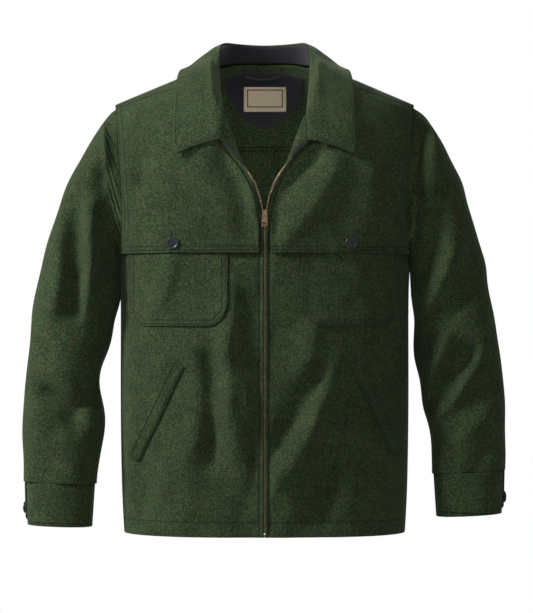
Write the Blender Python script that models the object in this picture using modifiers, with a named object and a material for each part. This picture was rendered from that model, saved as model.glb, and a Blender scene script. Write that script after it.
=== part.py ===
"""A wool shirt jacket, zipped in front, filled out as if worn, in metres with +Z up.

The origin is the middle of the neck at the height of the side neck points. The front faces -Y.
Every cloth panel is a wall worked out on one shared body form, and each piece is its own closed solid.
"""
import math

import bmesh
import bpy
import numpy as np
from mathutils import Vector

# Driving sizes of the garment
HEM_Z = -0.750
ARCH_Z = -0.220
UNDERARM_Z = -0.312
NECK_HALF = 0.072
SHOULDER_Z = 0.002
SHOULDER_SLOPE = 0.413
TIP_X = 0.2395
TIP_Z = -0.0672
SECTION_POWER = 2.5
FRONT_ARCH_POWER = 2.4
BACK_ARCH_POWER = 3.0
BACK_NECK_RISE = 0.030
CAPE_EDGE_Z = -0.3076
BACK_YOKE_Z = -0.140

# Cloth and seams
CLOTH = 0.0018
COLLAR_CLOTH = 0.0028
LINING = 0.0010
LABEL_CLOTH = 0.0008
SEAM_GAP = 0.0003
PLACKET_HALF_GAP = 0.0016
CAPE_HANG = 0.0034
LAPEL_STAND = 0.0030

# Share of the folds' listed rise that the cloth shows
FOLD_SCALE = 1.35

# Divisions of the largest panels
FRONT_COLUMNS = 14
FRONT_ROWS = 22
FRONT_SIDE_ROWS = 12
CAPE_ROWS = 10
BACK_COLUMNS = 18
BACK_ROWS = 18
BACK_SIDE_ROWS = 13
SLEEVE_SIDES = 28
SLEEVE_STEPS = 16

# Body form, one row per height: height, half width, depth to the front, depth to the back
FORM_ROWS = (
    (-0.760, 0.2240, 0.1210, 0.1110),
    (-0.700, 0.2275, 0.1240, 0.1140),
    (-0.640, 0.2292, 0.1260, 0.1162),
    (-0.580, 0.2301, 0.1272, 0.1176),
    (-0.520, 0.2304, 0.1280, 0.1192),
    (-0.460, 0.2303, 0.1290, 0.1210),
    (-0.400, 0.2302, 0.1300, 0.1225),
    (-0.340, 0.2314, 0.1300, 0.1238),
    (-0.280, 0.2370, 0.1292, 0.1240),
    (-0.220, 0.2460, 0.1280, 0.1240),
)

# Armhole on the front, from the underarm up to the shoulder tip: distance from the middle, height
ARMHOLE_ROWS = (
    (0.2275, -0.3060),
    (0.2240, -0.2830),
    (0.2229, -0.2456),
    (0.2250, -0.2100),
    (0.2280, -0.1820),
    (0.2310, -0.1400),
    (0.2335, -0.1130),
    (0.2370, -0.0850),
    (0.2385, -0.0722),
)

# Neck seam from the middle of the back to the top of the zip: distance from the middle, height, side
NECK_ROWS = (
    (0.000, 0.0020, "back"),
    (0.030, 0.0030, "back"),
    (0.055, 0.0010, "back"),
    (0.073, -0.0040, "back"),
    (0.080, -0.0020, "ridge"),
    (0.083, -0.0110, "front"),
    (0.083, -0.0340, "front"),
    (0.079, -0.0700, "front"),
    (0.074, -0.1020, "front"),
    (0.068, -0.1350, "front"),
)

# Zip edge of a front above the slider: distance from the middle, height
ZIP_ROWS = (
    (0.0016, -0.2560),
    (0.0043, -0.2404),
    (0.0091, -0.2210),
    (0.0161, -0.2001),
    (0.0258, -0.1835),
    (0.0370, -0.1690),
    (0.0508, -0.1530),
    (0.0680, -0.1350),
)

# Roll line where the top of a front turns out: distance from the middle, height
ROLL_ROWS = (
    (0.0120, -0.2600),
    (0.0135, -0.2404),
    (0.0165, -0.2210),
    (0.0210, -0.2050),
    (0.0285, -0.1880),
    (0.0390, -0.1600),
    (0.0490, -0.1320),
    (0.0625, -0.0930),
)

# Front yoke seam: distance from the middle, height
FRONT_SEAM_ROWS = (
    (0.083, -0.0340),
    (0.110, -0.0430),
    (0.135, -0.0507),
    (0.175, -0.0615),
    (0.215, -0.0728),
    (0.2375, -0.0815),
)

# Folds of the fronts: start x, start z, end x, end z, rise (troughs are negative), half width
FRONT_FOLDS = (
    (-0.198, -0.090, -0.190, -0.150, 0.0028, 0.016),
    (-0.192, -0.150, -0.192, -0.210, -0.0030, 0.016),
    (-0.062, -0.170, -0.024, -0.255, -0.0060, 0.015),
    (-0.018, -0.200, -0.016, -0.285, 0.0030, 0.008),
    (0.110, -0.175, 0.050, -0.262, 0.0055, 0.014),
    (0.088, -0.145, 0.016, -0.235, -0.0050, 0.014),
    (0.168, -0.160, 0.172, -0.220, 0.0035, 0.020),
    (-0.143, -0.330, -0.165, -0.390, 0.0035, 0.014),
    (-0.049, -0.370, -0.057, -0.540, 0.0070, 0.018),
    (-0.057, -0.540, -0.049, -0.600, 0.0045, 0.018),
    (-0.082, -0.480, -0.082, -0.620, -0.0070, 0.017),
    (-0.103, -0.470, -0.104, -0.640, 0.0055, 0.018),
    (-0.030, -0.500, -0.032, -0.640, 0.0040, 0.014),
    (-0.186, -0.620, -0.186, -0.700, -0.0060, 0.020),
    (0.072, -0.450, 0.066, -0.480, 0.0060, 0.016),
    (0.104, -0.494, 0.073, -0.590, 0.0070, 0.017),
    (0.073, -0.590, 0.030, -0.650, 0.0060, 0.017),
    (0.082, -0.510, 0.028, -0.595, -0.0060, 0.016),
    (0.097, -0.630, 0.097, -0.700, -0.0060, 0.022),
    (0.190, -0.440, 0.200, -0.520, -0.0040, 0.018),
)

# Folds of the back: start x, start z, end x, end z, rise, half width
BACK_FOLDS = (
    (-0.185, -0.200, -0.110, -0.340, 0.0060, 0.026),
    (-0.150, -0.300, -0.080, -0.440, -0.0050, 0.027),
    (0.180, -0.190, 0.105, -0.350, 0.0060, 0.026),
    (0.140, -0.290, 0.080, -0.420, -0.0045, 0.027),
    (-0.060, -0.480, -0.045, -0.660, 0.0060, 0.026),
    (0.020, -0.420, 0.035, -0.620, -0.0055, 0.026),
    (0.095, -0.480, 0.110, -0.680, 0.0060, 0.026),
    (-0.130, -0.540, -0.140, -0.700, -0.0050, 0.026),
)

# Sleeve rings below the armhole: outer x, outer z, inner x, inner z, half depth, centre y
LEFT_SLEEVE_ROWS = (
    (0.2560, -0.0900, 0.2372, -0.3190, 0.0720, -0.002),
    (0.2740, -0.1210, 0.2370, -0.3310, 0.0740, -0.003),
    (0.2930, -0.1550, 0.2366, -0.3460, 0.0740, -0.005),
    (0.3120, -0.1920, 0.2364, -0.3630, 0.0720, -0.006),
    (0.3300, -0.2320, 0.2364, -0.3800, 0.0690, -0.008),
    (0.3450, -0.2810, 0.2372, -0.4000, 0.0660, -0.009),
    (0.3590, -0.3330, 0.2410, -0.4180, 0.0630, -0.010),
    (0.3680, -0.3850, 0.2450, -0.4400, 0.0600, -0.011),
    (0.3750, -0.4370, 0.2480, -0.4650, 0.0570, -0.013),
    (0.3800, -0.4850, 0.2570, -0.4950, 0.0530, -0.015),
    (0.3822, -0.5200, 0.2620, -0.5200, 0.0520, -0.017),
    (0.3835, -0.5550, 0.2550, -0.5550, 0.0520, -0.019),
    (0.3848, -0.5900, 0.2550, -0.5900, 0.0490, -0.021),
    (0.3848, -0.6250, 0.2620, -0.6250, 0.0450, -0.024),
    (0.3838, -0.6550, 0.2660, -0.6580, 0.0410, -0.027),
    (0.3832, -0.6680, 0.2660, -0.6720, 0.0385, -0.028),
)
RIGHT_SLEEVE_ROWS = (
    (0.2590, -0.0880, 0.2372, -0.3190, 0.0720, -0.002),
    (0.2790, -0.1190, 0.2370, -0.3310, 0.0740, -0.003),
    (0.2980, -0.1550, 0.2366, -0.3460, 0.0740, -0.005),
    (0.3150, -0.1920, 0.2364, -0.3650, 0.0720, -0.006),
    (0.3280, -0.2320, 0.2366, -0.3840, 0.0690, -0.008),
    (0.3420, -0.2810, 0.2378, -0.4080, 0.0660, -0.009),
    (0.3540, -0.3330, 0.2398, -0.4300, 0.0630, -0.010),
    (0.3640, -0.3850, 0.2415, -0.4520, 0.0600, -0.011),
    (0.3710, -0.4370, 0.2425, -0.4750, 0.0570, -0.013),
    (0.3780, -0.4850, 0.2450, -0.5000, 0.0540, -0.015),
    (0.3805, -0.5200, 0.2480, -0.5260, 0.0530, -0.017),
    (0.3822, -0.5550, 0.2530, -0.5560, 0.0520, -0.019),
    (0.3830, -0.5850, 0.2640, -0.5840, 0.0480, -0.021),
    (0.3832, -0.6150, 0.2655, -0.6180, 0.0440, -0.024),
    (0.3834, -0.6350, 0.2652, -0.6400, 0.0410, -0.027),
    (0.3834, -0.6500, 0.2648, -0.6560, 0.0385, -0.028),
)

# Folds of the sleeves: start x, start z, end x, end z, rise over the sleeve's own surface, half width
LEFT_SLEEVE_FOLDS = (
    (-0.296, -0.240, -0.294, -0.390, -0.0090, 0.013),
    (-0.327, -0.230, -0.330, -0.380, 0.0050, 0.013),
    (-0.272, -0.250, -0.276, -0.380, 0.0050, 0.011),
    (-0.250, -0.200, -0.250, -0.340, -0.0080, 0.012),
    (-0.340, -0.527, -0.306, -0.552, -0.0080, 0.012),
    (-0.352, -0.560, -0.316, -0.590, 0.0050, 0.014),
    (-0.345, -0.480, -0.300, -0.520, 0.0050, 0.014),
    (-0.262, -0.580, -0.300, -0.640, 0.0040, 0.014),
)
RIGHT_SLEEVE_FOLDS = (
    (0.256, -0.100, 0.240, -0.190, -0.0090, 0.014),
    (0.240, -0.190, 0.240, -0.270, -0.0060, 0.012),
    (0.300, -0.300, 0.250, -0.395, 0.0075, 0.015),
    (0.272, -0.270, 0.248, -0.350, -0.0060, 0.013),
    (0.324, -0.470, 0.266, -0.545, -0.0085, 0.015),
    (0.284, -0.445, 0.258, -0.495, 0.0060, 0.014),
    (0.312, -0.514, 0.272, -0.562, 0.0060, 0.014),
    (0.340, -0.590, 0.285, -0.640, 0.0040, 0.014),
)

# Collar, from the middle of the back to the front end: roll line x, y, z, then outer edge x, y, z
COLLAR_ROWS = (
    (0.0000, 0.0660, 0.0330, 0.0000, 0.1030, -0.0170),
    (0.0280, 0.0630, 0.0340, 0.0450, 0.0990, -0.0170),
    (0.0500, 0.0520, 0.0350, 0.0850, 0.0850, -0.0160),
    (0.0640, 0.0300, 0.0340, 0.1120, 0.0520, -0.0110),
    (0.0690, 0.0000, 0.0260, 0.1290, 0.0080, -0.0160),
    (0.0705, -0.0250, 0.0100, 0.1350, -0.0260, -0.0390),
    (0.0705, -0.0500, -0.0190, 0.1395, -0.0650, -0.0720),
    (0.0680, -0.0820, -0.0540, 0.1420, -0.0980, -0.1100),
    (0.0640, -0.1195, -0.0900, 0.1425, -0.1130, -0.1430),
    (0.0680, -0.1300, -0.1330, 0.1380, -0.1200, -0.1540),
)

# Patch pockets and slanted welts
POCKET_TOP_Z = -0.2880
POCKET_BOTTOM_Z = -0.4214
POCKET_CHAMFER = 0.0200
POCKET_X = {"left": (-0.2140, -0.0570), "right": (0.0580, 0.2120)}
WELT_TOP = {"left": (-0.1327, -0.4800), "right": (0.1430, -0.4780)}
WELT_FOOT = {"left": (-0.2050, -0.6300), "right": (0.2110, -0.6250)}
WELT_WIDTH = 0.0190

# Label: left edge, top edge, sizes
LABEL_X = -0.0347
LABEL_TOP_Z = -0.0294
LABEL_WIDTH = 0.0705
LABEL_HEIGHT = 0.0405

# Zip
TAPE_WIDTH = 0.0140
TAPE_THICK = 0.0011
SLIDER_TOP_Z = -0.2417
SLIDER_LENGTH = 0.0136
SLIDER_WIDTH = 0.0076
TAB_LENGTH = 0.0186
TAB_WIDTH = 0.0086
TAB_THICK = 0.0012

# Buttons
BUTTON_RADIUS = 0.0095
BUTTON_THICK = 0.0028
CHEST_BUTTONS = {"left": (-0.1397, -0.2930), "right": (0.1327, -0.2916)}

# Cuffs
CUFF_LENGTH = 0.0680
CUFF_CLOTH = 0.0026
CUFF_LAP_STEP = 0.0040
CUFF_TAPER = 0.0030
BUTTON_BEHIND = 0.0140


def smooth_rows(rows, t):
    """A point on the smooth curve through the rows, with t from 0 at the first to 1 at the last."""
    points = np.asarray(rows, float)
    last = len(points) - 1
    place = min(max(t, 0.0), 1.0) * last
    i = min(int(place), last - 1)
    f = place - i
    p1 = points[i]
    p2 = points[i + 1]
    p0 = points[i - 1] if i > 0 else 2 * p1 - p2
    p3 = points[i + 2] if i + 2 <= last else 2 * p2 - p1
    bend = 2 * p0 - 5 * p1 + 4 * p2 - p3
    twist = 3 * p1 - p0 - 3 * p2 + p3
    return 0.5 * (2 * p1 + (p2 - p0) * f + bend * f ** 2 + twist * f ** 3)


def by_height(rows, z):
    """The other columns of rows that start with a height, at height z."""
    table = np.asarray(rows, float)
    z = min(max(z, table[0, 0]), table[-1, 0])
    i = min(int(np.searchsorted(table[:, 0], z, side="right")) - 1, len(table) - 2)
    f = (z - table[i, 0]) / (table[i + 1, 0] - table[i, 0])
    return smooth_rows(table[:, 1:], (i + f) / (len(table) - 1))


def ridge_z(x, back):
    """Height of the shoulder ridge. The back of the neck stands a little higher than its front."""
    out = abs(x) - NECK_HALF
    z = SHOULDER_Z - SHOULDER_SLOPE * max(out, 0.0)
    if back:
        z += BACK_NECK_RISE * max(0.0, 1 - (x / 0.08) ** 2)
    return z


def fold_height(folds, x, z):
    """How far the folds lift the cloth at x, z: each is a soft ridge or trough that fades out at its ends."""
    total = 0.0
    for x0, z0, x1, z1, rise, half in folds:
        run = (x1 - x0, z1 - z0)
        length = math.hypot(*run)
        along = ((x - x0) * run[0] + (z - z0) * run[1]) / length ** 2
        across = ((x - x0) * run[1] - (z - z0) * run[0]) / length
        end = max(0.0, -along, along - 1) * length
        mid = 1 - (2 * min(max(along, 0.0), 1.0) - 1) ** 2 * 0.45
        total += FOLD_SCALE * rise * mid * math.exp(-(across / half) ** 2 - (end / (1.6 * half)) ** 2)
    return total


def form_point(x, z, back=False):
    """The body form at x and z, with its folds, as a place without offset."""
    half, front, behind = by_height(FORM_ROWS, min(z, ARCH_Z))
    depth = behind if back else front
    depth *= max(0.0, 1 - min(abs(x) / half, 1.0) ** SECTION_POWER) ** (1 / SECTION_POWER)
    lift = fold_height(BACK_FOLDS if back else FRONT_FOLDS, x, z)
    if z > ARCH_Z:
        power = BACK_ARCH_POWER if back else FRONT_ARCH_POWER
        share = min((z - ARCH_Z) / (ridge_z(x, back) - ARCH_Z), 1.0)
        arch = (1 - share ** power) ** (1 / power)
        depth *= arch
        lift *= arch
    lift *= min(1.0, (half - abs(x)) / 0.03 + 0.15)
    y = depth + lift
    return Vector((x, y if back else -y, z))


def turn_of(x, z):
    """The angle round the form's section, 0 in the middle and 90 degrees at the side seam."""
    half = by_height(FORM_ROWS, min(z, ARCH_Z))[0]
    return math.copysign(math.asin(min(abs(x) / half, 1.0) ** (SECTION_POWER / 2)), x)


def at_turn(turn, z, back=False, offset=0.0):
    """The form's point at an angle and a height, moved out from the surface by offset."""

    def place(a, h):
        half = by_height(FORM_ROWS, min(h, ARCH_Z))[0]
        x = math.copysign(half * abs(math.sin(a)) ** (2 / SECTION_POWER), a)
        return form_point(x, h, back)

    p = place(turn, z)
    if offset:
        step = 0.002
        turn_step = 0.01 if abs(turn) < math.pi / 2 - 0.02 else -0.01 * np.sign(turn)
        across = (place(turn + turn_step, z) - p) * np.sign(turn_step)
        up = p - place(turn, z - step)
        normal = across.cross(up).normalized()
        if back:
            normal = -normal
        p = p + normal * offset
    return p


def coons(bottom, top, inner, outer, columns, rows, spread):
    """Grid of (turn, height) pairs that fills the four edge curves, each a function of 0 to 1.

    spread turns even column shares into shares of the turn, so that the columns stay even in width.
    """
    grid = []
    for j in range(rows + 1):
        v = j / rows
        line = []
        for i in range(columns + 1):
            u = spread(i / columns)
            b, t, l, r = (np.asarray(f(k)) for f, k in ((bottom, u), (top, u), (inner, v), (outer, v)))
            ends = ((inner, 0), (outer, 0), (inner, 1), (outer, 1))
            c00, c10, c01, c11 = (np.asarray(f(k)) for f, k in ends)
            p = (1 - v) * b + v * t + (1 - u) * l + u * r
            p = p - (1 - u) * (1 - v) * c00 - u * (1 - v) * c10 - (1 - u) * v * c01 - u * v * c11
            line.append(p)
        grid.append(line)
    return grid


def even_share(u):
    """Share of the turn at which a share of the way from the middle to the side seam is reached."""
    return math.copysign(abs(u) ** (SECTION_POWER / 2), u)


def along(rows, t):
    """A point at the share t of the length of the smooth curve through the rows."""
    steps = 60
    points = [smooth_rows(rows, k / steps) for k in range(steps + 1)]
    lengths = np.cumsum([0.0] + [np.linalg.norm(points[k + 1] - points[k]) for k in range(steps)])
    place = np.interp(min(max(t, 0.0), 1.0) * lengths[-1], lengths, np.arange(steps + 1))
    return smooth_rows(rows, place / steps)


def as_turns(rows):
    return [(turn_of(x, z), z) for x, z in rows]


ARMHOLE = [(math.pi / 2, UNDERARM_Z)] + as_turns(ARMHOLE_ROWS) + as_turns([(TIP_X, TIP_Z)])
ARMHOLE_STEPS = 80
ARMHOLE_CURVE = [along(ARMHOLE, k / ARMHOLE_STEPS) for k in range(ARMHOLE_STEPS + 1)]


def armhole_at(share, margin=0.0):
    """The armhole's (turn, height) at a share of its length from the underarm, moved in by a margin."""
    shares = np.linspace(0, 1, ARMHOLE_STEPS + 1)
    turn, z = (float(np.interp(share, shares, [p[k] for p in ARMHOLE_CURVE])) for k in (0, 1))
    turn = min(turn, math.pi / 2)
    if margin:
        half = by_height(FORM_ROWS, min(z, ARCH_Z))[0]
        turn = min(turn, turn_of(half * abs(math.sin(turn)) ** (2 / SECTION_POWER) - margin, z))
    return (turn, z)


def armhole_share(z):
    """The share of the armhole's length at which it reaches a height."""
    return float(np.interp(z, [p[1] for p in ARMHOLE_CURVE], np.linspace(0, 1, ARMHOLE_STEPS + 1)))


def side_and_armhole(foot_z, top_z, turn_share, margin):
    """The outer edge of a panel: the side seam up to the underarm, then the armhole. Takes 0 to 1."""

    def edge(v):
        top = armhole_share(top_z)
        if foot_z > UNDERARM_Z:
            start = armhole_share(foot_z)
            return armhole_at(start + (top - start) * v, margin)
        if v <= turn_share:
            return (math.pi / 2, foot_z + (UNDERARM_Z - foot_z) * v / turn_share)
        return armhole_at(top * (v - turn_share) / (1 - turn_share), margin)

    return edge


def height_rows(rows, z):
    """Distance from the middle of a line given by rows of distance and height, at a height."""
    table = sorted(rows, key=lambda row: row[1])
    return float(np.interp(z, [row[1] for row in table], [row[0] for row in table]))


def seam_z(x):
    """Height of the front yoke seam at a distance from the middle."""
    return float(np.interp(abs(x), [row[0] for row in FRONT_SEAM_ROWS], [row[1] for row in FRONT_SEAM_ROWS]))


def principled(name, colour, roughness, metallic=0.0):
    material = bpy.data.materials.new(name)
    material.use_nodes = True
    shader = material.node_tree.nodes["Principled BSDF"]
    shader.inputs["Base Color"].default_value = (*colour, 1.0)
    shader.inputs["Roughness"].default_value = roughness
    shader.inputs["Metallic"].default_value = metallic
    return material


def add_object(name, mesh, material):
    mesh.materials.append(material)
    mesh.shade_smooth()
    mesh.set_sharp_from_angle(angle=math.radians(40))
    made = bpy.data.objects.new(name, mesh)
    jacket.objects.link(made)
    return made


def cloth(name, grid, thickness, material, outward, closed=False):
    """A sheet through a grid of points. Its outer side faces outward, and Solidify adds the wall behind."""
    rows = len(grid)
    columns = len(grid[0])
    index = {}
    points = []
    for j, line in enumerate(grid):
        for i, p in enumerate(line):
            if p is not None:
                index[j, i] = len(points)
                points.append(tuple(p))
    wrap = columns if closed else columns - 1
    j = rows // 2
    i = columns // 2 if not closed else 0
    across = grid[j][i + 1] - grid[j][i]
    up = grid[j + 1][i] - grid[j][i] if j + 1 < rows else grid[j][i] - grid[j - 1][i]
    flip = across.cross(up).dot(Vector(outward)) < 0
    faces = []
    for j in range(rows - 1):
        for i in range(wrap):
            k = (i + 1) % columns
            corners = ((j, i), (j, k), (j + 1, k), (j + 1, i))
            if all(corner in index for corner in corners):
                face = [index[corner] for corner in corners]
                faces.append(face[::-1] if flip else face)
    mesh = bpy.data.meshes.new(name)
    mesh.from_pydata(points, [], faces)
    made = add_object(name, mesh, material)
    wall = made.modifiers.new("Wall", "SOLIDIFY")
    wall.thickness = thickness
    wall.offset = -1.0
    return made


def turned(name, profile, material, place, direction, sides=14):
    """A shape turned round its own axis, from a closed profile of radius and height, facing direction."""
    bm = bmesh.new()
    rings = []
    turn = Vector((0, 0, 1)).rotation_difference(Vector(direction).normalized())
    for radius, height in profile:
        if radius < 1e-6:
            rings.append([bm.verts.new(turn @ Vector((0, 0, height)) + Vector(place))])
            continue
        ring = []
        for k in range(sides):
            a = 2 * math.pi * k / sides
            p = Vector((radius * math.cos(a), radius * math.sin(a), height))
            ring.append(bm.verts.new(turn @ p + Vector(place)))
        rings.append(ring)
    for low, high in zip(rings, rings[1:]):
        for k in range(sides):
            n = (k + 1) % sides
            if len(low) == 1:
                bm.faces.new((low[0], high[n], high[k]))
            elif len(high) == 1:
                bm.faces.new((low[k], low[n], high[0]))
            else:
                bm.faces.new((low[k], low[n], high[n], high[k]))
    bmesh.ops.recalc_face_normals(bm, faces=bm.faces)
    mesh = bpy.data.meshes.new(name)
    bm.to_mesh(mesh)
    bm.free()
    return add_object(name, mesh, material)


def box(name, low, high, material, bevel=0.0):
    """A block between two corners, with softened edges."""
    bpy.ops.mesh.primitive_cube_add(size=1)
    made = bpy.context.object
    made.name = name
    made.data.name = name
    for vertex in made.data.vertices:
        vertex.co = [low[k] + (high[k] - low[k]) * (vertex.co[k] + 0.5) for k in range(3)]
    made.data.materials.append(material)
    for holder in list(made.users_collection):
        holder.objects.unlink(made)
    jacket.objects.link(made)
    if bevel:
        soft = made.modifiers.new("Soft edges", "BEVEL")
        soft.width = bevel
        soft.segments = 2
    return made


def cut(piece, cutter):
    """Takes the cutter's shape out of the piece."""
    for holder in list(cutter.users_collection):
        holder.objects.unlink(cutter)
    cutters.objects.link(cutter)
    cutter.hide_render = True
    cutter.display_type = "WIRE"
    made = piece.modifiers.new("Cut", "BOOLEAN")
    made.operation = "DIFFERENCE"
    made.solver = "EXACT"
    made.object = cutter


for old in list(bpy.data.objects):
    bpy.data.objects.remove(old, do_unlink=True)
jacket = bpy.data.collections.new("Shirt jacket")
cutters = bpy.data.collections.new("Cutters")
bpy.context.scene.collection.children.link(jacket)
bpy.context.scene.collection.children.link(cutters)

wool = principled("Green wool", (0.030, 0.072, 0.035), 0.9)
navy = principled("Navy lining", (0.012, 0.013, 0.022), 0.6)
satin = principled("Dark satin", (0.015, 0.015, 0.020), 0.35)
linen = principled("Tan weave", (0.42, 0.33, 0.20), 0.85)
tape_cloth = principled("Dark zip tape", (0.02, 0.022, 0.02), 0.8)
brass = principled("Aged brass", (0.42, 0.30, 0.13), 0.38, 1.0)
horn = principled("Dark button", (0.015, 0.017, 0.018), 0.3)


def centre_line(rows, margin, foot_z):
    """An inner edge that runs straight up beside the zip and then follows the rows, moved out by a margin."""
    straight = [(rows[0][0] + margin, foot_z + (rows[0][1] - foot_z) * k / 6) for k in range(6)]
    return straight + [(x + margin, z) for x, z in rows]


def front_layer(side, inner_rows, corner_share, turn_share, foot_z, columns, rows, offset_at, margin):
    """A layer on the front, from its foot up to the neck seam and the yoke seam, as a grid of points.

    The inner edge follows inner_rows up to corner_share of the rows, and then the neck seam.
    """
    sign = -1 if side == "left" else 1
    inner = as_turns(inner_rows)
    corner_z = inner_rows[-1][1]
    neck = [(x + 0.0008, z) for x, z, where in NECK_ROWS if where == "front" and corner_z + 0.01 < z < -0.012]
    neck = [inner[-1]] + as_turns(neck[::-1])
    side_x, side_z = FRONT_SEAM_ROWS[-1]
    outer = side_and_armhole(foot_z, side_z - SEAM_GAP, turn_share, margin)
    seam = as_turns(FRONT_SEAM_ROWS[:-1]) + [outer(1)]

    def inner_edge(v):
        if v <= corner_share:
            return along(inner, v / corner_share)
        return along(neck, (v - corner_share) / (1 - corner_share))

    def foot(u):
        return (inner[0][0] + (outer(0)[0] - inner[0][0]) * u, foot_z)

    grid = coons(foot, lambda u: along(seam, u), inner_edge, outer, columns, rows, even_share)
    made = []
    for j, line in enumerate(grid):
        row = []
        for turn, z in line:
            turn = min(turn, math.pi / 2 - 0.002)
            z = max(z, foot_z)
            if j == rows:
                z = seam_z(at_turn(turn, z).x) - 2 * SEAM_GAP
            row.append(at_turn(sign * turn, z, False, offset_at(z)))
        made.append(row)
    return made


def front(side):
    """One front panel: a wall from hem to yoke seam, its top corner turned out along the roll line."""
    sign = -1 if side == "left" else 1
    corner = FRONT_ROWS - 2
    roll_rows = centre_line(ROLL_ROWS, 0.0, HEM_Z)
    grid = front_layer(
        side, roll_rows, corner / FRONT_ROWS, FRONT_SIDE_ROWS / FRONT_ROWS, HEM_Z,
        FRONT_COLUMNS, FRONT_ROWS, lambda z: 0.0, 2 * SEAM_GAP,
    )
    zip_rows = as_turns(centre_line(ZIP_ROWS, PLACKET_HALF_GAP - 2 * SEAM_GAP, HEM_Z))
    for j, row in enumerate(grid):
        if j > corner:
            row[:0] = [None, None]
            continue
        turn, z = along(zip_rows, j / corner)
        roll = row[0]
        lift = LAPEL_STAND * lapel_share(z)
        edge = at_turn(sign * turn, z, False, lift)
        if lift:
            middle = (roll + edge) / 2 + Vector((0, -lift / 3, 0))
        else:
            middle = at_turn(sign * (turn + turn_of(abs(roll.x), z)) / 2, z)
        row[:0] = [edge, middle]
    return cloth("front_" + side, grid, CLOTH, wool, (0, -1, 0))


def lapel_share(z):
    """0 where a front lies flat below the turned-out corner, 1 where the corner is fully turned out."""
    return max(0.0, min(1.0, (z + 0.195) / 0.040))


def cape(side):
    """Front cape: a second layer from the yoke seam down to its free edge, standing off the front."""
    inner = centre_line([row for row in ZIP_ROWS if row[1] < -0.150], 0.0075, CAPE_EDGE_Z)
    inner.append((0.0790, -0.1340))

    def offset_at(z):
        hang = max(0.0, min(1.0, (z + 0.10) / (CAPE_EDGE_Z + 0.10)))
        return CLOTH + 3 * SEAM_GAP + CAPE_HANG * hang

    grid = front_layer(side, inner, 0.6, 0.0, CAPE_EDGE_Z, FRONT_COLUMNS, CAPE_ROWS, offset_at, 0.0036)
    return cloth("front_cape_" + side, grid, CLOTH, wool, (0, -1, 0))


def arch_point(x, angle):
    """The form over the shoulder: angle is 0 at the arch's foot in front, 90 degrees on the ridge."""
    back = angle > math.pi / 2
    power = BACK_ARCH_POWER if back else FRONT_ARCH_POWER
    s = abs(math.sin(angle)) ** (2 / power)
    return form_point(x, ARCH_Z + (ridge_z(x, back) - ARCH_Z) * min(s, 1.0), back)


def arch_angle(x, z, where):
    """The angle over the shoulder for a height on the front or the back."""
    if where == "ridge":
        return math.pi / 2
    back = where == "back"
    power = BACK_ARCH_POWER if back else FRONT_ARCH_POWER
    share = min(max((z - ARCH_Z) / (ridge_z(x, back) - ARCH_Z), 0.0), 1.0)
    angle = math.asin(share ** (power / 2))
    return math.pi - angle if back else angle


def back_yoke():
    """Back yoke: one wall from the back seam over both shoulders to the front seams, round the neck."""
    neck = [(x, arch_angle(x, z, where)) for x, z, where in NECK_ROWS if where != "front" or z > -0.03]
    neck.append((0.0835, arch_angle(0.0835, -0.0337, "front")))
    margin = 2 * SEAM_GAP
    start = armhole_share(BACK_YOKE_Z)
    corner = at_turn(*armhole_at(start, margin)).x
    edge = [(corner * k / 11, arch_angle(corner * k / 11, BACK_YOKE_Z, "back")) for k in range(12)]
    for where, shares in (("back", (1, 2, 3)), ("ridge", (4,)), ("front", (3, 2, 1))):
        for k in shares:
            foot = start if where == "back" else armhole_share(FRONT_SEAM_ROWS[-1][1])
            part = k / 4 if where == "back" else (k - 1) / 3 if where == "front" else 1.0
            turn, z = armhole_at(foot + (1 - foot) * part, margin)
            x = at_turn(turn, z).x if where != "ridge" else TIP_X - margin
            edge.append((x, arch_angle(x, z, where)))
    columns = len(edge) - 1
    rows = 6
    half = []
    for j in range(rows + 1):
        v = j / rows
        line = []
        for i in range(columns + 1):
            x, angle = along([(x, angle * 0.1) for x, angle in neck], i / columns) * (1, 10)
            x += (edge[i][0] - x) * v
            angle += (edge[i][1] - angle) * v
            if i == columns:
                angle = arch_angle(x, seam_z(x), "front")
            line.append((x, angle))
        half.append(line)
    grid = []
    for line in half:
        points = [arch_point(x, angle) for x, angle in line]
        mirrored = [Vector((-p.x, p.y, p.z)) for p in points[:0:-1]]
        grid.append(mirrored + points)
    return cloth("back_yoke", grid, CLOTH, wool, (0, 1, 0.3))


def back():
    """Back panel: one wall between the side seams, from the hem to the yoke seam."""
    top_z = BACK_YOKE_Z - 2 * SEAM_GAP
    edge = side_and_armhole(HEM_Z, top_z, BACK_SIDE_ROWS / BACK_ROWS, 2 * SEAM_GAP)
    grid = coons(
        lambda u: ((2 * u - 1) * math.pi / 2, HEM_Z),
        lambda u: ((2 * u - 1) * edge(1)[0], top_z),
        lambda v: (-edge(v)[0], edge(v)[1]), edge, BACK_COLUMNS, BACK_ROWS,
        lambda u: 0.5 + 0.5 * even_share(2 * u - 1),
    )
    limit = math.pi / 2 - 0.02
    made = [[at_turn(min(max(t, -limit), limit), max(z, HEM_Z), True) for t, z in line] for line in grid]
    return cloth("back", made, CLOTH, wool, (0, 1, 0))


def armhole_loop(sides):
    """The armhole as a closed ring of points on the right: from the tip down the front, round to the back."""
    ring = []
    for k in range(sides):
        share = 2 * k / sides
        back_side = share > 1
        turn, z = armhole_at(share - 1 if back_side else 1 - share)
        ring.append(at_turn(turn, z, back_side))
    ring[0] = Vector((TIP_X, 0.0, TIP_Z))
    return ring


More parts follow.
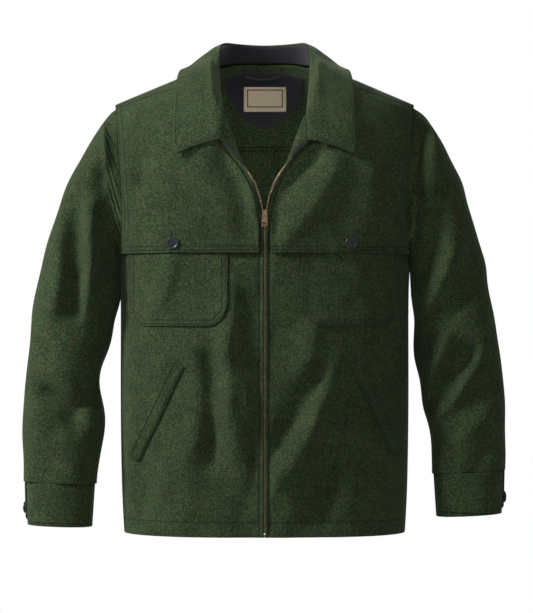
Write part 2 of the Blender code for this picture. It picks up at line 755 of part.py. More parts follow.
def sleeve(side, rows, folds):
    """One sleeve: a tube from the armhole down the arm to the cuff seam, each ring a soft oval."""
    sign = -1 if side == "left" else 1
    sides = SLEEVE_SIDES
    grid = []
    ring = [p + Vector((4 * SEAM_GAP, 0, 0)) for p in armhole_loop(sides)]
    grid.append([Vector((sign * p.x, p.y, p.z)) for p in ring])
    steps = SLEEVE_STEPS
    for j in range(steps + 1):
        outer_x, outer_z, inner_x, inner_z, depth, centre_y = smooth_rows(rows, j / steps)
        outer_end = Vector((outer_x, 0, outer_z))
        inner_end = Vector((inner_x, 0, inner_z))
        middle = (outer_end + inner_end) / 2 + Vector((0, centre_y, 0))
        reach = (outer_end - inner_end) / 2
        line = []
        for k in range(sides):
            a = 2 * math.pi * k / sides
            c = math.copysign(abs(math.cos(a)) ** 0.9, math.cos(a))
            s = math.copysign(abs(math.sin(a)) ** 0.9, math.sin(a))
            p = middle + reach * c + Vector((0, -depth * s, 0))
            mirrored = Vector((sign * p.x, p.y, p.z))
            fade = min(1.0, j / 3) * min(1.0, (steps - j) / 4)
            lift = fold_height(folds, mirrored.x, mirrored.z) * abs(s) * fade
            mirrored.y -= lift * (1 if s > 0 else -0.8)
            line.append(mirrored)
        grid.append(line)
    return cloth("sleeve_" + side, grid, CLOTH, wool, (sign, 0, 0.3), closed=True)


def cuff(side, rows):
    """One cuff: a band that laps over itself at the outer side, with a rounded corner on the lap."""
    sign = -1 if side == "left" else 1
    outer_x, outer_z, inner_x, inner_z, depth, centre_y = rows[-1]
    middle = Vector(((outer_x + inner_x) / 2, centre_y, (outer_z + inner_z) / 2))
    half = (outer_x - inner_x) / 2 - 0.0050
    slope = (outer_z - inner_z) / (outer_x - inner_x)
    columns = 26
    start = math.radians(-34)
    end = math.radians(360 - 5)
    levels = 4
    grid = []
    for j in range(levels + 1):
        v = j / levels
        drop = SEAM_GAP + CUFF_LENGTH * v
        line = []
        for i in range(columns + 1):
            a = start + (end - start) * i / columns
            grow = CUFF_LAP_STEP * i / columns
            c = math.copysign(abs(math.cos(a)) ** 0.9, math.cos(a))
            s = math.copysign(abs(math.sin(a)) ** 0.9, math.sin(a))
            x = (half - CUFF_TAPER * v + grow) * c + CUFF_TAPER * v / 2
            y = -(depth + grow) * s
            corner = max(0.0, 1 - (1 - i / columns) * columns / 2.2)
            rise = corner ** 2 * 0.010 * v ** 3
            p = middle + Vector((x, y, slope * x - drop + rise))
            line.append(Vector((sign * p.x, p.y, p.z)))
        grid.append(line)
    made = cloth("cuff_" + side, grid, CUFF_CLOTH, wool, (-sign, 0, 0))
    level = 0.60
    seat_x = half + CUFF_LAP_STEP - CUFF_TAPER * level / 2 - 0.0020
    place = middle + Vector((seat_x, BUTTON_BEHIND, -CUFF_LENGTH * level))
    place = Vector((sign * place.x, place.y, place.z))
    button("cuff_button_" + side, place, (sign, 0.30, 0.0))
    return made


def button(name, place, direction):
    """A dark four-hole button: a dished disc with a raised rim."""
    r = BUTTON_RADIUS
    t = BUTTON_THICK
    profile = (
        (0, 0),
        (r * 0.86, 0),
        (r, t * 0.4),
        (r * 0.9, t),
        (r * 0.62, t * 0.66),
        (0, t * 0.6),
    )
    hole_profile = ((0, -t), (0.0011, -t), (0.0011, t), (0, t))
    made = turned(name, profile, horn, place, direction)
    axis = Vector(direction).normalized()
    side_axis = axis.orthogonal().normalized()
    up = axis.cross(side_axis)
    for k in range(4):
        a = math.pi / 4 + k * math.pi / 2
        spot = Vector(place) + (side_axis * math.cos(a) + up * math.sin(a)) * r * 0.27 + axis * t * 0.5
        hole = turned(name + "_hole_" + str(k + 1), hole_profile, horn, spot, direction, 6)
        cut(made, hole)
    return made


def neck_point(t):
    """The neck seam on the right half, from the middle of the back at 0 to the zip's top at 1."""
    rows = []
    for x, z, where in NECK_ROWS:
        rows.append(tuple(form_point(x, z, where == "back")) if where != "ridge" else (x, 0.0, z))
    return Vector(along(rows, t))


def collar_lines(t):
    """Seam, roll line and outer edge of the collar at the share t from the middle of the back."""
    roll = Vector(smooth_rows([row[:3] for row in COLLAR_ROWS], t))
    edge = Vector(smooth_rows([row[3:] for row in COLLAR_ROWS], t))
    return neck_point(t), roll, edge


def collar_grid(halves, spread):
    """Both halves of the collar, back middle in the middle. spread gives the points across one column."""
    right = [spread(*collar_lines(k / halves), k / halves) for k in range(halves + 1)]
    left = [[Vector((-p.x, p.y, p.z)) for p in line] for line in right[:0:-1]]
    columns = left + right
    return [list(row) for row in zip(*columns)]


def collar_seat(seam, t):
    """Where the collar stands on the neck seam: on top of it behind, and in front of the fronts' corners."""
    if t < 0.45:
        return seam + Vector((0, 0, 0.0034))
    share = min(1.0, (t - 0.45) / 0.15)
    ahead = 0.0032 + 0.0040 * min(1.0, max(0.0, (t - 0.6) / 0.2))
    return seam + Vector((0, -ahead * share, 0.0034 * (1 - share) + 0.0012 * share))


def collar():
    """Fold-down collar: the stand rises from the neck seam, rolls over and falls to its edge and points."""

    def spread(seam, roll, edge, t):
        seam = collar_seat(seam, t)
        axis = Vector((0, 0.01, 0)) - seam
        axis.z = 0
        inward = axis.normalized()
        points = []
        for k in range(3):
            points.append(seam + (roll - seam) * k / 3 + inward * 0.0012 * math.sin(math.pi * k / 3))
        fall = edge - roll
        out = -inward if t < 0.8 else Vector((0, -1, 0))
        height = max(0.0032, 0.0050 * (1 - t * 0.3))
        points.append(roll + Vector((0, 0, 0.0006)))
        for k in range(1, 7):
            f = k / 6
            bulge = 4 * f * (1 - f) * 0.006 + height * math.sin(math.pi * min(f * 4, 1.0)) * 0.6
            p = roll + fall * f + (out * 0.8 + Vector((0, 0, 0.6))) * bulge
            near_stand = max(0.0, 1 - f * 3.0) if t > 0.5 else 0.0
            points.append(clear_of_front(p, 0.0085 + 0.0045 * near_stand + 0.002 * f))
        return points

    return cloth("collar", collar_grid(18, spread), COLLAR_CLOTH, wool, (0, 1, 1))


def clear_of_front(p, least):
    """Moves a point out until it clears the shoulders and fronts by the least distance."""
    back = p.y > 0
    depth = abs(form_point(p.x, ARCH_Z, back).y)
    power = BACK_ARCH_POWER if back else FRONT_ARCH_POWER
    share = abs(p.y) / depth
    if abs(p.x) < 0.078 and (back or p.z > -0.075):
        return p
    if share < 0.75:
        top = ARCH_Z + (ridge_z(p.x, back) - ARCH_Z) * (1 - share ** power) ** (1 / power)
        slope = math.hypot(1.0, SHOULDER_SLOPE) * math.hypot(1.0, 0.6 * share)
        return Vector((p.x, p.y, max(p.z, top + least * slope)))
    if back:
        return p
    surface = form_point(p.x, p.z, False)
    return Vector((p.x, min(p.y, surface.y - 1.3 * least), p.z))


def stand_lining():
    """Dark lining that covers the neck side of the collar stand, round the back of the neck."""
    halves = 8

    def column(t):
        seam, roll, _ = collar_lines(t)
        seam = collar_seat(seam, t)
        inward = Vector((0, 0.01, 0)) - seam
        inward.z = 0
        inward = inward.normalized() * (2 * SEAM_GAP + LINING)
        top = seam + (roll - seam) * 0.90
        bows = [1 + 0.9 * math.sin(math.pi * k / 3) for k in range(4)]
        return [seam + (top - seam) * k / 3 + inward * bow for k, bow in enumerate(bows)]

    right = [column(0.50 * k / halves) for k in range(halves + 1)]
    left = [[Vector((-p.x, p.y, p.z)) for p in line] for line in right[:0:-1]]
    grid = [list(row) for row in zip(*(left + right))]
    return cloth("collar_stand_lining", grid, LINING, navy, (0, 1, 0))


def inside_back(x, z, depth):
    """A place on the inner side of the back, depth under the outer surface."""
    p = form_point(x, z, True)
    up = form_point(x, z + 0.002, True) - form_point(x, z - 0.002, True)
    across = form_point(x + 0.002, z, True) - form_point(x - 0.002, z, True)
    normal = up.cross(across).normalized()
    return p - normal * depth


def neck_facing():
    """Half-moon facing on the inner side of the back below the neck seam."""
    depth = CLOTH + 3 * SEAM_GAP
    top_half = 0.0660
    grid = []
    for j in range(5):
        v = j / 4
        line = []
        for i in range(13):
            u = 2 * i / 12 - 1
            x = u * top_half
            top_z = -0.0060 - 0.0100 * u * u
            foot_z = -0.0974 + 0.052 * u * u
            line.append(inside_back(x * (1 - 0.04 * v), top_z + (foot_z - top_z) * v, depth))
        grid.append(line)
    return cloth("back_neck_facing", grid, LINING, navy, (0, 1, 0))


def label():
    """Plain woven label sewn on the facing."""
    depth = CLOTH + 6 * SEAM_GAP + LINING
    grid = []
    for j in range(4):
        z = LABEL_TOP_Z - LABEL_HEIGHT * j / 3
        grid.append([inside_back(LABEL_X + LABEL_WIDTH * i / 4, z, depth) for i in range(5)])
    return cloth("neck_label", grid, LABEL_CLOTH, linen, (0, 1, 0))


def hanger_loop():
    """Hanger loop: a narrow satin tube across the top of the facing, sewn down at both ends."""
    curve = bpy.data.curves.new("hanger_loop", "CURVE")
    curve.dimensions = "3D"
    curve.bevel_depth = 0.0016
    curve.bevel_resolution = 2
    curve.use_fill_caps = True
    spline = curve.splines.new("POLY")
    steps = 14
    spline.points.add(steps)
    for k in range(steps + 1):
        u = k / steps
        x = -0.033 + 0.060 * u
        stand = 0.0055 + 0.0050 * math.sin(math.pi * u) ** 0.5
        z = -0.0120 - 0.004 * math.sin(math.pi * u)
        p = inside_back(x, z, stand)
        spline.points[k].co = (*p, 1)
    made = bpy.data.objects.new("hanger_loop", curve)
    jacket.objects.link(made)
    curve.materials.append(satin)
    return made


def patch(name, outline_rows, columns, offset, thickness, material):
    """A piece that lies on a front: rows of left x, right x and z, given in the front's own places."""
    grid = []
    for x0, x1, z in outline_rows:
        line = []
        for i in range(columns + 1):
            x = x0 + (x1 - x0) * i / columns
            line.append(at_turn(turn_of(x, z), z, False, offset))
        grid.append(line)
    return cloth(name, grid, thickness, material, (0, -1, 0))


def chest_pocket(side):
    """Patch pocket with chamfered lower corners, its top tucked under the cape."""
    x0, x1 = POCKET_X[side]
    rows = []
    levels = 7
    for j in range(levels + 1):
        z = POCKET_BOTTOM_Z + (POCKET_TOP_Z - POCKET_BOTTOM_Z) * (j / levels) ** 1.15
        up = min(1.0, (z - POCKET_BOTTOM_Z) / POCKET_CHAMFER)
        cut_in = POCKET_CHAMFER * (1 - up ** 0.8)
        rows.append((x0 + cut_in, x1 - cut_in, z))
    return patch("chest_pocket_" + side, rows, 10, CLOTH + 3 * SEAM_GAP, CLOTH - 0.0002, wool)


def hand_pocket_welt(side):
    """Slanted welt of a hand pocket, a raised strip whose free edge faces the side seam."""
    top = Vector(WELT_TOP[side])
    foot = Vector(WELT_FOOT[side])
    run = (foot - top).normalized()
    width = Vector((-run.y, run.x)) * WELT_WIDTH / 2
    grid = []
    steps = 9
    for k in range(steps + 1):
        middle = top + (foot - top) * k / steps
        line = []
        for i in range(4):
            f = 2 * i / 3 - 1
            x, z = middle + width * f
            free = f if side == "right" else -f
            offset = CLOTH + 3 * SEAM_GAP + 0.0010 + 0.0010 * free
            line.append(at_turn(turn_of(x, z), z, False, offset))
        grid.append(line)
    return cloth("hand_pocket_welt_" + side, grid, CLOTH, wool, (0, -1, 0))


def zip_tape(side):
    """Zip tape: behind the front's edge, and at the top on the inner side that the corner turns up."""
    sign = -1 if side == "left" else 1

    def strip(name, low, high, steps, across):
        grid = []
        for j in range(steps + 1):
            z = low + (high - low) * j / steps
            near, far, out = across(z)
            row = [near, (near + far) / 2, far]
            grid.append([at_turn(sign * turn_of(x, z), z, False, out) for x in row])
        cloth(name + side, grid, TAPE_THICK, tape_cloth, (0, -1, 0))

    def flat(z):
        x = height_rows(ZIP_ROWS, z) - 0.0008
        return x, x + TAPE_WIDTH, -(CLOTH + 5 * SEAM_GAP)

    def turned_out(z):
        x = height_rows(ZIP_ROWS, z)
        width = min(0.008, 0.75 * (x - height_rows(ROLL_ROWS, z)))
        return x, x - width, LAPEL_STAND + CLOTH + 2 * SEAM_GAP + TAPE_THICK

    strip("zip_tape_", HEM_Z + 0.006, -0.183, 26, flat)
    strip("zip_tape_top_", -0.160, -0.1365, 4, turned_out)


def zip_slider():
    """Brass slider: a body over the closed teeth with a bridge on top for the pull tab."""
    surface = form_point(0, SLIDER_TOP_Z - SLIDER_LENGTH / 2).y
    y_front = surface - 0.0028
    low = (-SLIDER_WIDTH / 2, y_front, SLIDER_TOP_Z - SLIDER_LENGTH)
    high = (SLIDER_WIDTH / 2, y_front + 0.0022, SLIDER_TOP_Z)
    body = box("zip_slider", low, high, brass, 0.0007)
    bridge_low = (-0.0012, y_front - 0.0046, SLIDER_TOP_Z - 0.0108)
    bridge_high = (0.0012, y_front + 0.0004, SLIDER_TOP_Z - 0.0032)
    bridge = box("slider_bridge", bridge_low, bridge_high, brass, 0.0004)
    window_low = (-0.01, y_front - 0.0032, SLIDER_TOP_Z - 0.0092)
    window_high = (0.01, y_front - 0.0006, SLIDER_TOP_Z - 0.0042)
    window = box("bridge_window", window_low, window_high, brass)
    cut(bridge, window)
    join = body.modifiers.new("Bridge", "BOOLEAN")
    join.operation = "UNION"
    join.solver = "EXACT"
    join.object = bridge
    for holder in list(bridge.users_collection):
        holder.objects.unlink(bridge)
    cutters.objects.link(bridge)
    bridge.hide_render = True
    bridge.display_type = "WIRE"
    return y_front


def pull_tab(y_front):
    """Pull tab: a flat brass tab on the bridge, with a slot on top and a rectangular hole near its foot."""
    pin_y = y_front - 0.0019
    pin_z = SLIDER_TOP_Z - 0.0076
    back_y = y_front - 0.0019 + TAB_THICK / 2
    low = (-TAB_WIDTH / 2, back_y - TAB_THICK, pin_z - TAB_LENGTH + 0.0010)
    high = (TAB_WIDTH / 2, back_y, pin_z + 0.0010)
    tab = box("pull_tab", low, high, brass, 0.0004)
    slot_low = (-0.0017, back_y - 0.01, pin_z - 0.0064)
    slot_high = (0.0017, back_y + 0.01, pin_z - 0.0006)
    cut(tab, box("tab_slot", slot_low, slot_high, brass))
    hole_low = (-0.0026, back_y - 0.01, pin_z - TAB_LENGTH + 0.0032)
    hole_high = (0.0026, back_y + 0.01, pin_z - TAB_LENGTH + 0.0078)
    cut(tab, box("tab_hole", hole_low, hole_high, brass))
    return pin_y, pin_z


def retainer_box():
    """Brass box at the foot of the zip, between the tapes."""
    surface = form_point(0, HEM_Z + 0.006).y
    low = (-0.0018, surface - 0.0004, HEM_Z + 0.0002)
    high = (0.0018, surface + 0.0014, HEM_Z + 0.0052)
    box("zip_retainer_box", low, high, brass, 0.0003)


for side_name in ("left", "right"):
    front(side_name)
    cape(side_name)
back_yoke()
back()
sleeve("left", LEFT_SLEEVE_ROWS, LEFT_SLEEVE_FOLDS)
sleeve("right", RIGHT_SLEEVE_ROWS, RIGHT_SLEEVE_FOLDS)
cuff("left", LEFT_SLEEVE_ROWS)
cuff("right", RIGHT_SLEEVE_ROWS)
collar()
stand_lining()
neck_facing()
label()
hanger_loop()
for side_name in ("left", "right"):
    chest_pocket(side_name)
    hand_pocket_welt(side_name)
    zip_tape(side_name)
    spot_x, spot_z = CHEST_BUTTONS[side_name]
    spot = at_turn(turn_of(spot_x, spot_z), spot_z, False, CLOTH + SEAM_GAP + CAPE_HANG + 0.0014)
    button("chest_button_" + side_name, spot, (math.copysign(0.28, spot_x), -1, 0.05))
front_y = zip_slider()
pin_y, pin_z = pull_tab(front_y)
retainer_box()
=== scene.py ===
import math

import bpy
import numpy as np
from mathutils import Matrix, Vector
from mathutils.bvhtree import BVHTree


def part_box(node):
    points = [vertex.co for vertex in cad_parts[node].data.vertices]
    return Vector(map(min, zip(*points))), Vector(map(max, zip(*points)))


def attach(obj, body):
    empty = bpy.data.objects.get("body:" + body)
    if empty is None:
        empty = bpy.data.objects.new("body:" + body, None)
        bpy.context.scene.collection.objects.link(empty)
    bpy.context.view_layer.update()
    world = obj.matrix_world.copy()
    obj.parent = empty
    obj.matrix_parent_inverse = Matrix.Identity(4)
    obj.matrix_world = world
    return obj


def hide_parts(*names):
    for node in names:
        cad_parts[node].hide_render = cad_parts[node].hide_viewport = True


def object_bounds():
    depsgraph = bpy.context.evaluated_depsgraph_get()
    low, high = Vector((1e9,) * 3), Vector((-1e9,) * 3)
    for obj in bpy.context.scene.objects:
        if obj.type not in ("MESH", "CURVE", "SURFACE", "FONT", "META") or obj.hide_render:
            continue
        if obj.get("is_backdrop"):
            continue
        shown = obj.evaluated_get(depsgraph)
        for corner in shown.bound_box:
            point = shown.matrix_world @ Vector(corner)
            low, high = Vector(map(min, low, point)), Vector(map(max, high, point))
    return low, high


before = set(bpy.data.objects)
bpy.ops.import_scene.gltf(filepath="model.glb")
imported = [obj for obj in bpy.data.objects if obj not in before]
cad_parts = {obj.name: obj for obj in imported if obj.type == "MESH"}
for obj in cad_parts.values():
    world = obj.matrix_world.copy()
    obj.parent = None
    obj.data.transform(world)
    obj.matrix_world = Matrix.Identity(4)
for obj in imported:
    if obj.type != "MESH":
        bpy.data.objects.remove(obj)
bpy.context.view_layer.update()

# The camera and the studio. The jacket hangs in front of a plain white ground, seen square from the front
# at the height of its middle. A strong light stands high on the left, a weak one on the right, and a
# narrow one shines into the neck.
VIEW_DISTANCE = 4.0
VIEW_MIDDLE = (0.003, -0.391)
VIEW_HEIGHT = 0.981
SENSOR = 36.0
AIR_STRENGTH = 0.16
FLOOR_Z = -1.05
GROUND_SIZE = 30.0
BACKDROP_Y = 6.0
LIGHTS = (
    # name, place, aim, size, power, spread in degrees
    ("key", (-2.75, -1.15, 1.40), (0, 0, -0.38), 0.6, 132.0, 180),
    ("fill", (2.3, -2.4, 0.2), (0, 0, -0.38), 2.0, 4.0, 180),
    ("front", (0.0, -3.2, 1.3), (0, 0, -0.38), 0.4, 12.0, 180),
    ("behind", (0.4, 2.6, 1.2), (0, 0, -0.38), 2.0, 30.0, 180),
    ("neck", (0.0, -1.3, 0.22), (0, 0, -0.07), 0.12, 0.09, 22),
)
WHITE = (1.0, 1.0, 1.0, 1.0)

camera_data = bpy.data.cameras.new("camera")
camera_data.sensor_width = SENSOR
camera_data.lens = SENSOR * VIEW_DISTANCE / VIEW_HEIGHT
camera = bpy.data.objects.new("camera", camera_data)
camera.location = (VIEW_MIDDLE[0], -VIEW_DISTANCE, VIEW_MIDDLE[1])
camera.rotation_euler = (math.pi / 2, 0.0, 0.0)
bpy.context.scene.collection.objects.link(camera)
bpy.context.scene.camera = camera
bpy.context.scene.view_settings.view_transform = "Standard"

for name, place, aim, size, power, spread in LIGHTS:
    light = bpy.data.lights.new(name, "AREA")
    light.spread = math.radians(spread)
    light.size = size
    light.energy = power
    lamp = bpy.data.objects.new(name, light)
    lamp.location = place
    lamp.rotation_euler = (Vector(aim) - Vector(place)).to_track_quat("-Z", "Y").to_euler()
    bpy.context.scene.collection.objects.link(lamp)

world = bpy.data.worlds.new("studio air")
world.use_nodes = True
world.node_tree.nodes["Background"].inputs["Color"].default_value = WHITE
world.node_tree.nodes["Background"].inputs["Strength"].default_value = AIR_STRENGTH
bpy.context.scene.world = world

ground = bpy.data.materials.new("white ground")
ground.use_nodes = True
tree = ground.node_tree
ground_shader = tree.nodes["Principled BSDF"]
ground_shader.inputs["Base Color"].default_value = (0.5, 0.5, 0.5, 1)
ground_shader.inputs["Roughness"].default_value = 0.9
glow = tree.nodes.new("ShaderNodeEmission")
glow.inputs["Color"].default_value = WHITE
path = tree.nodes.new("ShaderNodeLightPath")
mix = tree.nodes.new("ShaderNodeMixShader")
tree.links.new(path.outputs["Is Camera Ray"], mix.inputs["Fac"])
tree.links.new(ground_shader.outputs["BSDF"], mix.inputs[1])
tree.links.new(glow.outputs["Emission"], mix.inputs[2])
tree.links.new(mix.outputs["Shader"], tree.nodes["Material Output"].inputs["Surface"])
bpy.ops.mesh.primitive_plane_add(size=GROUND_SIZE, location=(0, 0, FLOOR_Z))
floor = bpy.context.object
floor.name = "floor"
floor.data.materials.append(ground)
floor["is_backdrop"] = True
upright = (math.pi / 2, 0, 0)
bpy.ops.mesh.primitive_plane_add(size=GROUND_SIZE, location=(0, BACKDROP_Y, 0), rotation=upright)
wall = bpy.context.object
wall.name = "backdrop"
wall.data.materials.append(ground)
wall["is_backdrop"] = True

# The wool. A heavy milled wool cloth in dark green, spun from dyed fibres of several colours, so that fine
# olive, brown and teal flecks show in the green, with a short soft nap brushed over the weave.
WOOL_DARK = (0.0080, 0.0160, 0.0065, 1)
WOOL_MID = (0.0270, 0.0470, 0.0190, 1)
WOOL_LIGHT = (0.0760, 0.1120, 0.0460, 1)
WOOL_BROWN = (0.1000, 0.0640, 0.0250, 1)
WOOL_TEAL = (0.0150, 0.0640, 0.0440, 1)
CLOUD_DARK = (0.40, 0.40, 0.40)
CLOUD_LIGHT = (0.60, 0.60, 0.60)
BLACK = (0.0, 0.0, 0.0, 1)
FIBRE_SCALE = 415.0
CLOUD_SCALE = 34.0
NAP_SCALE = 900.0
FELT_SCALE = 260.0


def node_group(name, outputs):
    """An empty shader node group with object coordinates inside and the outputs given by name and kind."""
    group = bpy.data.node_groups.new(name, "ShaderNodeTree")
    for title, kind in outputs:
        group.interface.new_socket(title, in_out="OUTPUT", socket_type=kind)
    end = group.nodes.new("NodeGroupOutput")
    place = group.nodes.new("ShaderNodeTexCoord")
    return group, end, place.outputs["Object"]


def noise(tree, vector, scale, detail=3.0, roughness=0.55, stretch=None):
    """The Fac output of a noise texture, its space stretched where stretch is given."""
    if stretch:
        mapping = tree.nodes.new("ShaderNodeMapping")
        mapping.inputs["Scale"].default_value = stretch
        tree.links.new(vector, mapping.inputs["Vector"])
        vector = mapping.outputs["Vector"]
    texture = tree.nodes.new("ShaderNodeTexNoise")
    texture.inputs["Scale"].default_value = scale
    texture.inputs["Detail"].default_value = detail
    texture.inputs["Roughness"].default_value = roughness
    tree.links.new(vector, texture.inputs["Vector"])
    return texture.outputs["Fac"]


def ramp(tree, value, *stops):
    """A colour ramp over the value. Each stop is a place and a colour."""
    node = tree.nodes.new("ShaderNodeValToRGB")
    elements = node.color_ramp.elements
    while len(elements) < len(stops):
        elements.new(0.5)
    for element, (place, colour) in zip(elements, stops):
        element.position = place
        element.color = colour if len(colour) == 4 else (*colour, 1)
    tree.links.new(value, node.inputs["Fac"])
    return node.outputs["Color"]


def mixed(tree, share, first, second, mode="MIX"):
    """Two colours mixed by a share, which is a number or an output."""
    node = tree.nodes.new("ShaderNodeMix")
    node.data_type = "RGBA"
    node.blend_type = mode
    for socket, value in ((node.inputs[0], share), (node.inputs[6], first), (node.inputs[7], second)):
        if isinstance(value, bpy.types.NodeSocket):
            tree.links.new(value, socket)
        else:
            socket.default_value = value
    return node.outputs[2]


heather, heather_end, place = node_group("Heather colour", (("Color", "NodeSocketColor"),))
fibre = noise(heather, place, FIBRE_SCALE, 4.0, 0.7)
base = ramp(heather, fibre, (0.34, WOOL_DARK), (0.50, WOOL_MID), (0.68, WOOL_LIGHT))
brown_spots = ramp(heather, noise(heather, place, FIBRE_SCALE * 0.8, 2.0, 0.6, (1.0, 1.0, 0.6)),
                   (0.60, BLACK), (0.70, WHITE))
teal_spots = ramp(heather, noise(heather, place, FIBRE_SCALE * 1.15, 2.0, 0.6, (0.7, 1.0, 1.1)),
                  (0.62, BLACK), (0.72, WHITE))
flecked = mixed(heather, brown_spots, base, WOOL_BROWN)
flecked = mixed(heather, teal_spots, flecked, WOOL_TEAL)
cloud = noise(heather, place, CLOUD_SCALE, 3.0, 0.6)
clouds = ramp(heather, cloud, (0.30, CLOUD_DARK), (0.72, CLOUD_LIGHT))
shaded = mixed(heather, 1.0, flecked, clouds, "OVERLAY")
heather.links.new(shaded, heather_end.inputs["Color"])

felt, felt_end, place = node_group("Felt height", (("Height", "NodeSocketFloat"),))
fine = noise(felt, place, NAP_SCALE, 3.0, 0.6)
coarse = noise(felt, place, FELT_SCALE, 3.0, 0.6, (1.0, 1.0, 1.4))
height = felt.nodes.new("ShaderNodeMath")
height.operation = "MULTIPLY_ADD"
height.inputs[1].default_value = 0.5
felt.links.new(fine, height.inputs[0])
felt.links.new(coarse, height.inputs[2])
felt.links.new(height.outputs[0], felt_end.inputs["Height"])


def finish(name, roughness, metallic=0.0, sheen=0.0, specular=0.5):
    """A material with its Principled shader and a place in object coordinates."""
    material = bpy.data.materials.new(name)
    material.use_nodes = True
    shader = material.node_tree.nodes["Principled BSDF"]
    shader.inputs["Roughness"].default_value = roughness
    shader.inputs["Metallic"].default_value = metallic
    shader.inputs["Sheen Weight"].default_value = sheen
    shader.inputs["Specular IOR Level"].default_value = specular
    coordinates = material.node_tree.nodes.new("ShaderNodeTexCoord")
    return material, material.node_tree, shader, coordinates.outputs["Object"]


def bump(tree, shader, height, distance, strength=1.0):
    """A bump from a height output into the shader's normal."""
    node = tree.nodes.new("ShaderNodeBump")
    node.inputs["Distance"].default_value = distance
    node.inputs["Strength"].default_value = strength
    tree.links.new(height, node.inputs["Height"])
    tree.links.new(node.outputs["Normal"], shader.inputs["Normal"])


def grouped(tree, group):
    """The output of a node group placed in a material."""
    node = tree.nodes.new("ShaderNodeGroup")
    node.node_tree = group
    return node.outputs[0]


def vector_math(tree, operation, first, second):
    """The outputs of one vector maths node. Its inputs are triples or outputs."""
    node = tree.nodes.new("ShaderNodeVectorMath")
    node.operation = operation
    for socket, value in zip(node.inputs, (first, second)):
        if isinstance(value, bpy.types.NodeSocket):
            tree.links.new(value, socket)
        else:
            socket.default_value = value
    return node.outputs


def calculated(tree, operation, first, second=0.0, third=0.0):
    """One maths node. Its inputs are numbers or outputs."""
    node = tree.nodes.new("ShaderNodeMath")
    node.operation = operation
    for socket, value in zip(node.inputs, (first, second, third)):
        if isinstance(value, bpy.types.NodeSocket):
            tree.links.new(value, socket)
        else:
            socket.default_value = value
    return node.outputs[0]


GROOVE_HALF = 0.0016


def sewn_lines(name, rows, mirrored):
    """A node group whose mask is 1 where topstitching draws the cloth in.

    Each row is a line of x, z places, the distance of its two rows of stitches from it, and the side it is
    on. Where the group is mirrored, a line on the right stands for the left too.
    """
    group, end, place = node_group(name, (("Mask", "NodeSocketFloat"),))
    flat = vector_math(group, "MULTIPLY", place, (1, 0, 1))[0]
    if mirrored:
        upward = vector_math(group, "MULTIPLY", flat, (0, 0, 1))[0]
        sideways = vector_math(group, "MULTIPLY", flat, (1, 0, 0))[0]
        outward = vector_math(group, "ABSOLUTE", sideways, (0, 0, 0))[0]
        flat = vector_math(group, "ADD", outward, upward)[0]
    depth = group.nodes.new("ShaderNodeSeparateXYZ")
    group.links.new(place, depth.inputs[0])
    total = None
    for line, apart, side in rows:
        nearest = None
        for start, stop in zip(line, line[1:]):
            run = Vector((stop[0] - start[0], 0, stop[1] - start[1]))
            out = vector_math(group, "SUBTRACT", flat, (start[0], 0, start[1]))[0]
            share = vector_math(group, "DOT_PRODUCT", out, tuple(run / run.length_squared))[1]
            share = calculated(group, "MINIMUM", calculated(group, "MAXIMUM", share, 0.0), 1.0)
            foot = vector_math(group, "MULTIPLY", tuple(run), share)[0]
            distance = vector_math(group, "DISTANCE", out, foot)[1]
            nearest = distance if nearest is None else calculated(group, "MINIMUM", nearest, distance)
        off_row = calculated(group, "ABSOLUTE", calculated(group, "SUBTRACT", nearest, apart))
        fade = group.nodes.new("ShaderNodeMapRange")
        fade.interpolation_type = "SMOOTHSTEP"
        fade.inputs["From Min"].default_value = 0.0
        fade.inputs["From Max"].default_value = GROOVE_HALF
        fade.inputs["To Min"].default_value = 1.0
        fade.inputs["To Max"].default_value = 0.0
        group.links.new(off_row, fade.inputs["Value"])
        test = "LESS_THAN" if side == "front" else "GREATER_THAN"
        mask = fade.outputs[0]
        if side != "both":
            mask = calculated(group, "MULTIPLY", mask, calculated(group, test, depth.outputs["Y"], 0.0))
        total = mask if total is None else calculated(group, "MAXIMUM", total, mask)
    group.links.new(total, end.inputs["Mask"])
    return group


GROOVE_DEPTH = 0.9
GROOVE_PAINTED_SHADE = (0.42, 0.42, 0.42, 1)
SHEEN_TINT = (0.70, 0.84, 0.56, 1)
FELT_DEPTH = 0.0010


def green_wool(name, rows=(), mirrored=False):
    """The wool's material, drawn in along its sewn lines, with painted shade darkening its colour there."""
    material, tree, shader, _ = finish(name, 0.92, sheen=0.14, specular=0.18)
    shader.inputs["Sheen Roughness"].default_value = 0.45
    shader.inputs["Sheen Tint"].default_value = SHEEN_TINT
    colour = grouped(tree, heather)
    height = grouped(tree, felt)
    if rows:
        mask = grouped(tree, sewn_lines(name + " seams", rows, mirrored))
        # Painted shade: the colour is darkened along the sewn lines, where the groove would lie in shadow.
        shade = mixed(tree, mask, WHITE, GROOVE_PAINTED_SHADE)
        colour = mixed(tree, 1.0, colour, shade, "MULTIPLY")
        height = calculated(tree, "MULTIPLY_ADD", mask, -GROOVE_DEPTH, height)
    tree.links.new(colour, shader.inputs["Base Color"])
    bump(tree, shader, height, FELT_DEPTH)
    return material


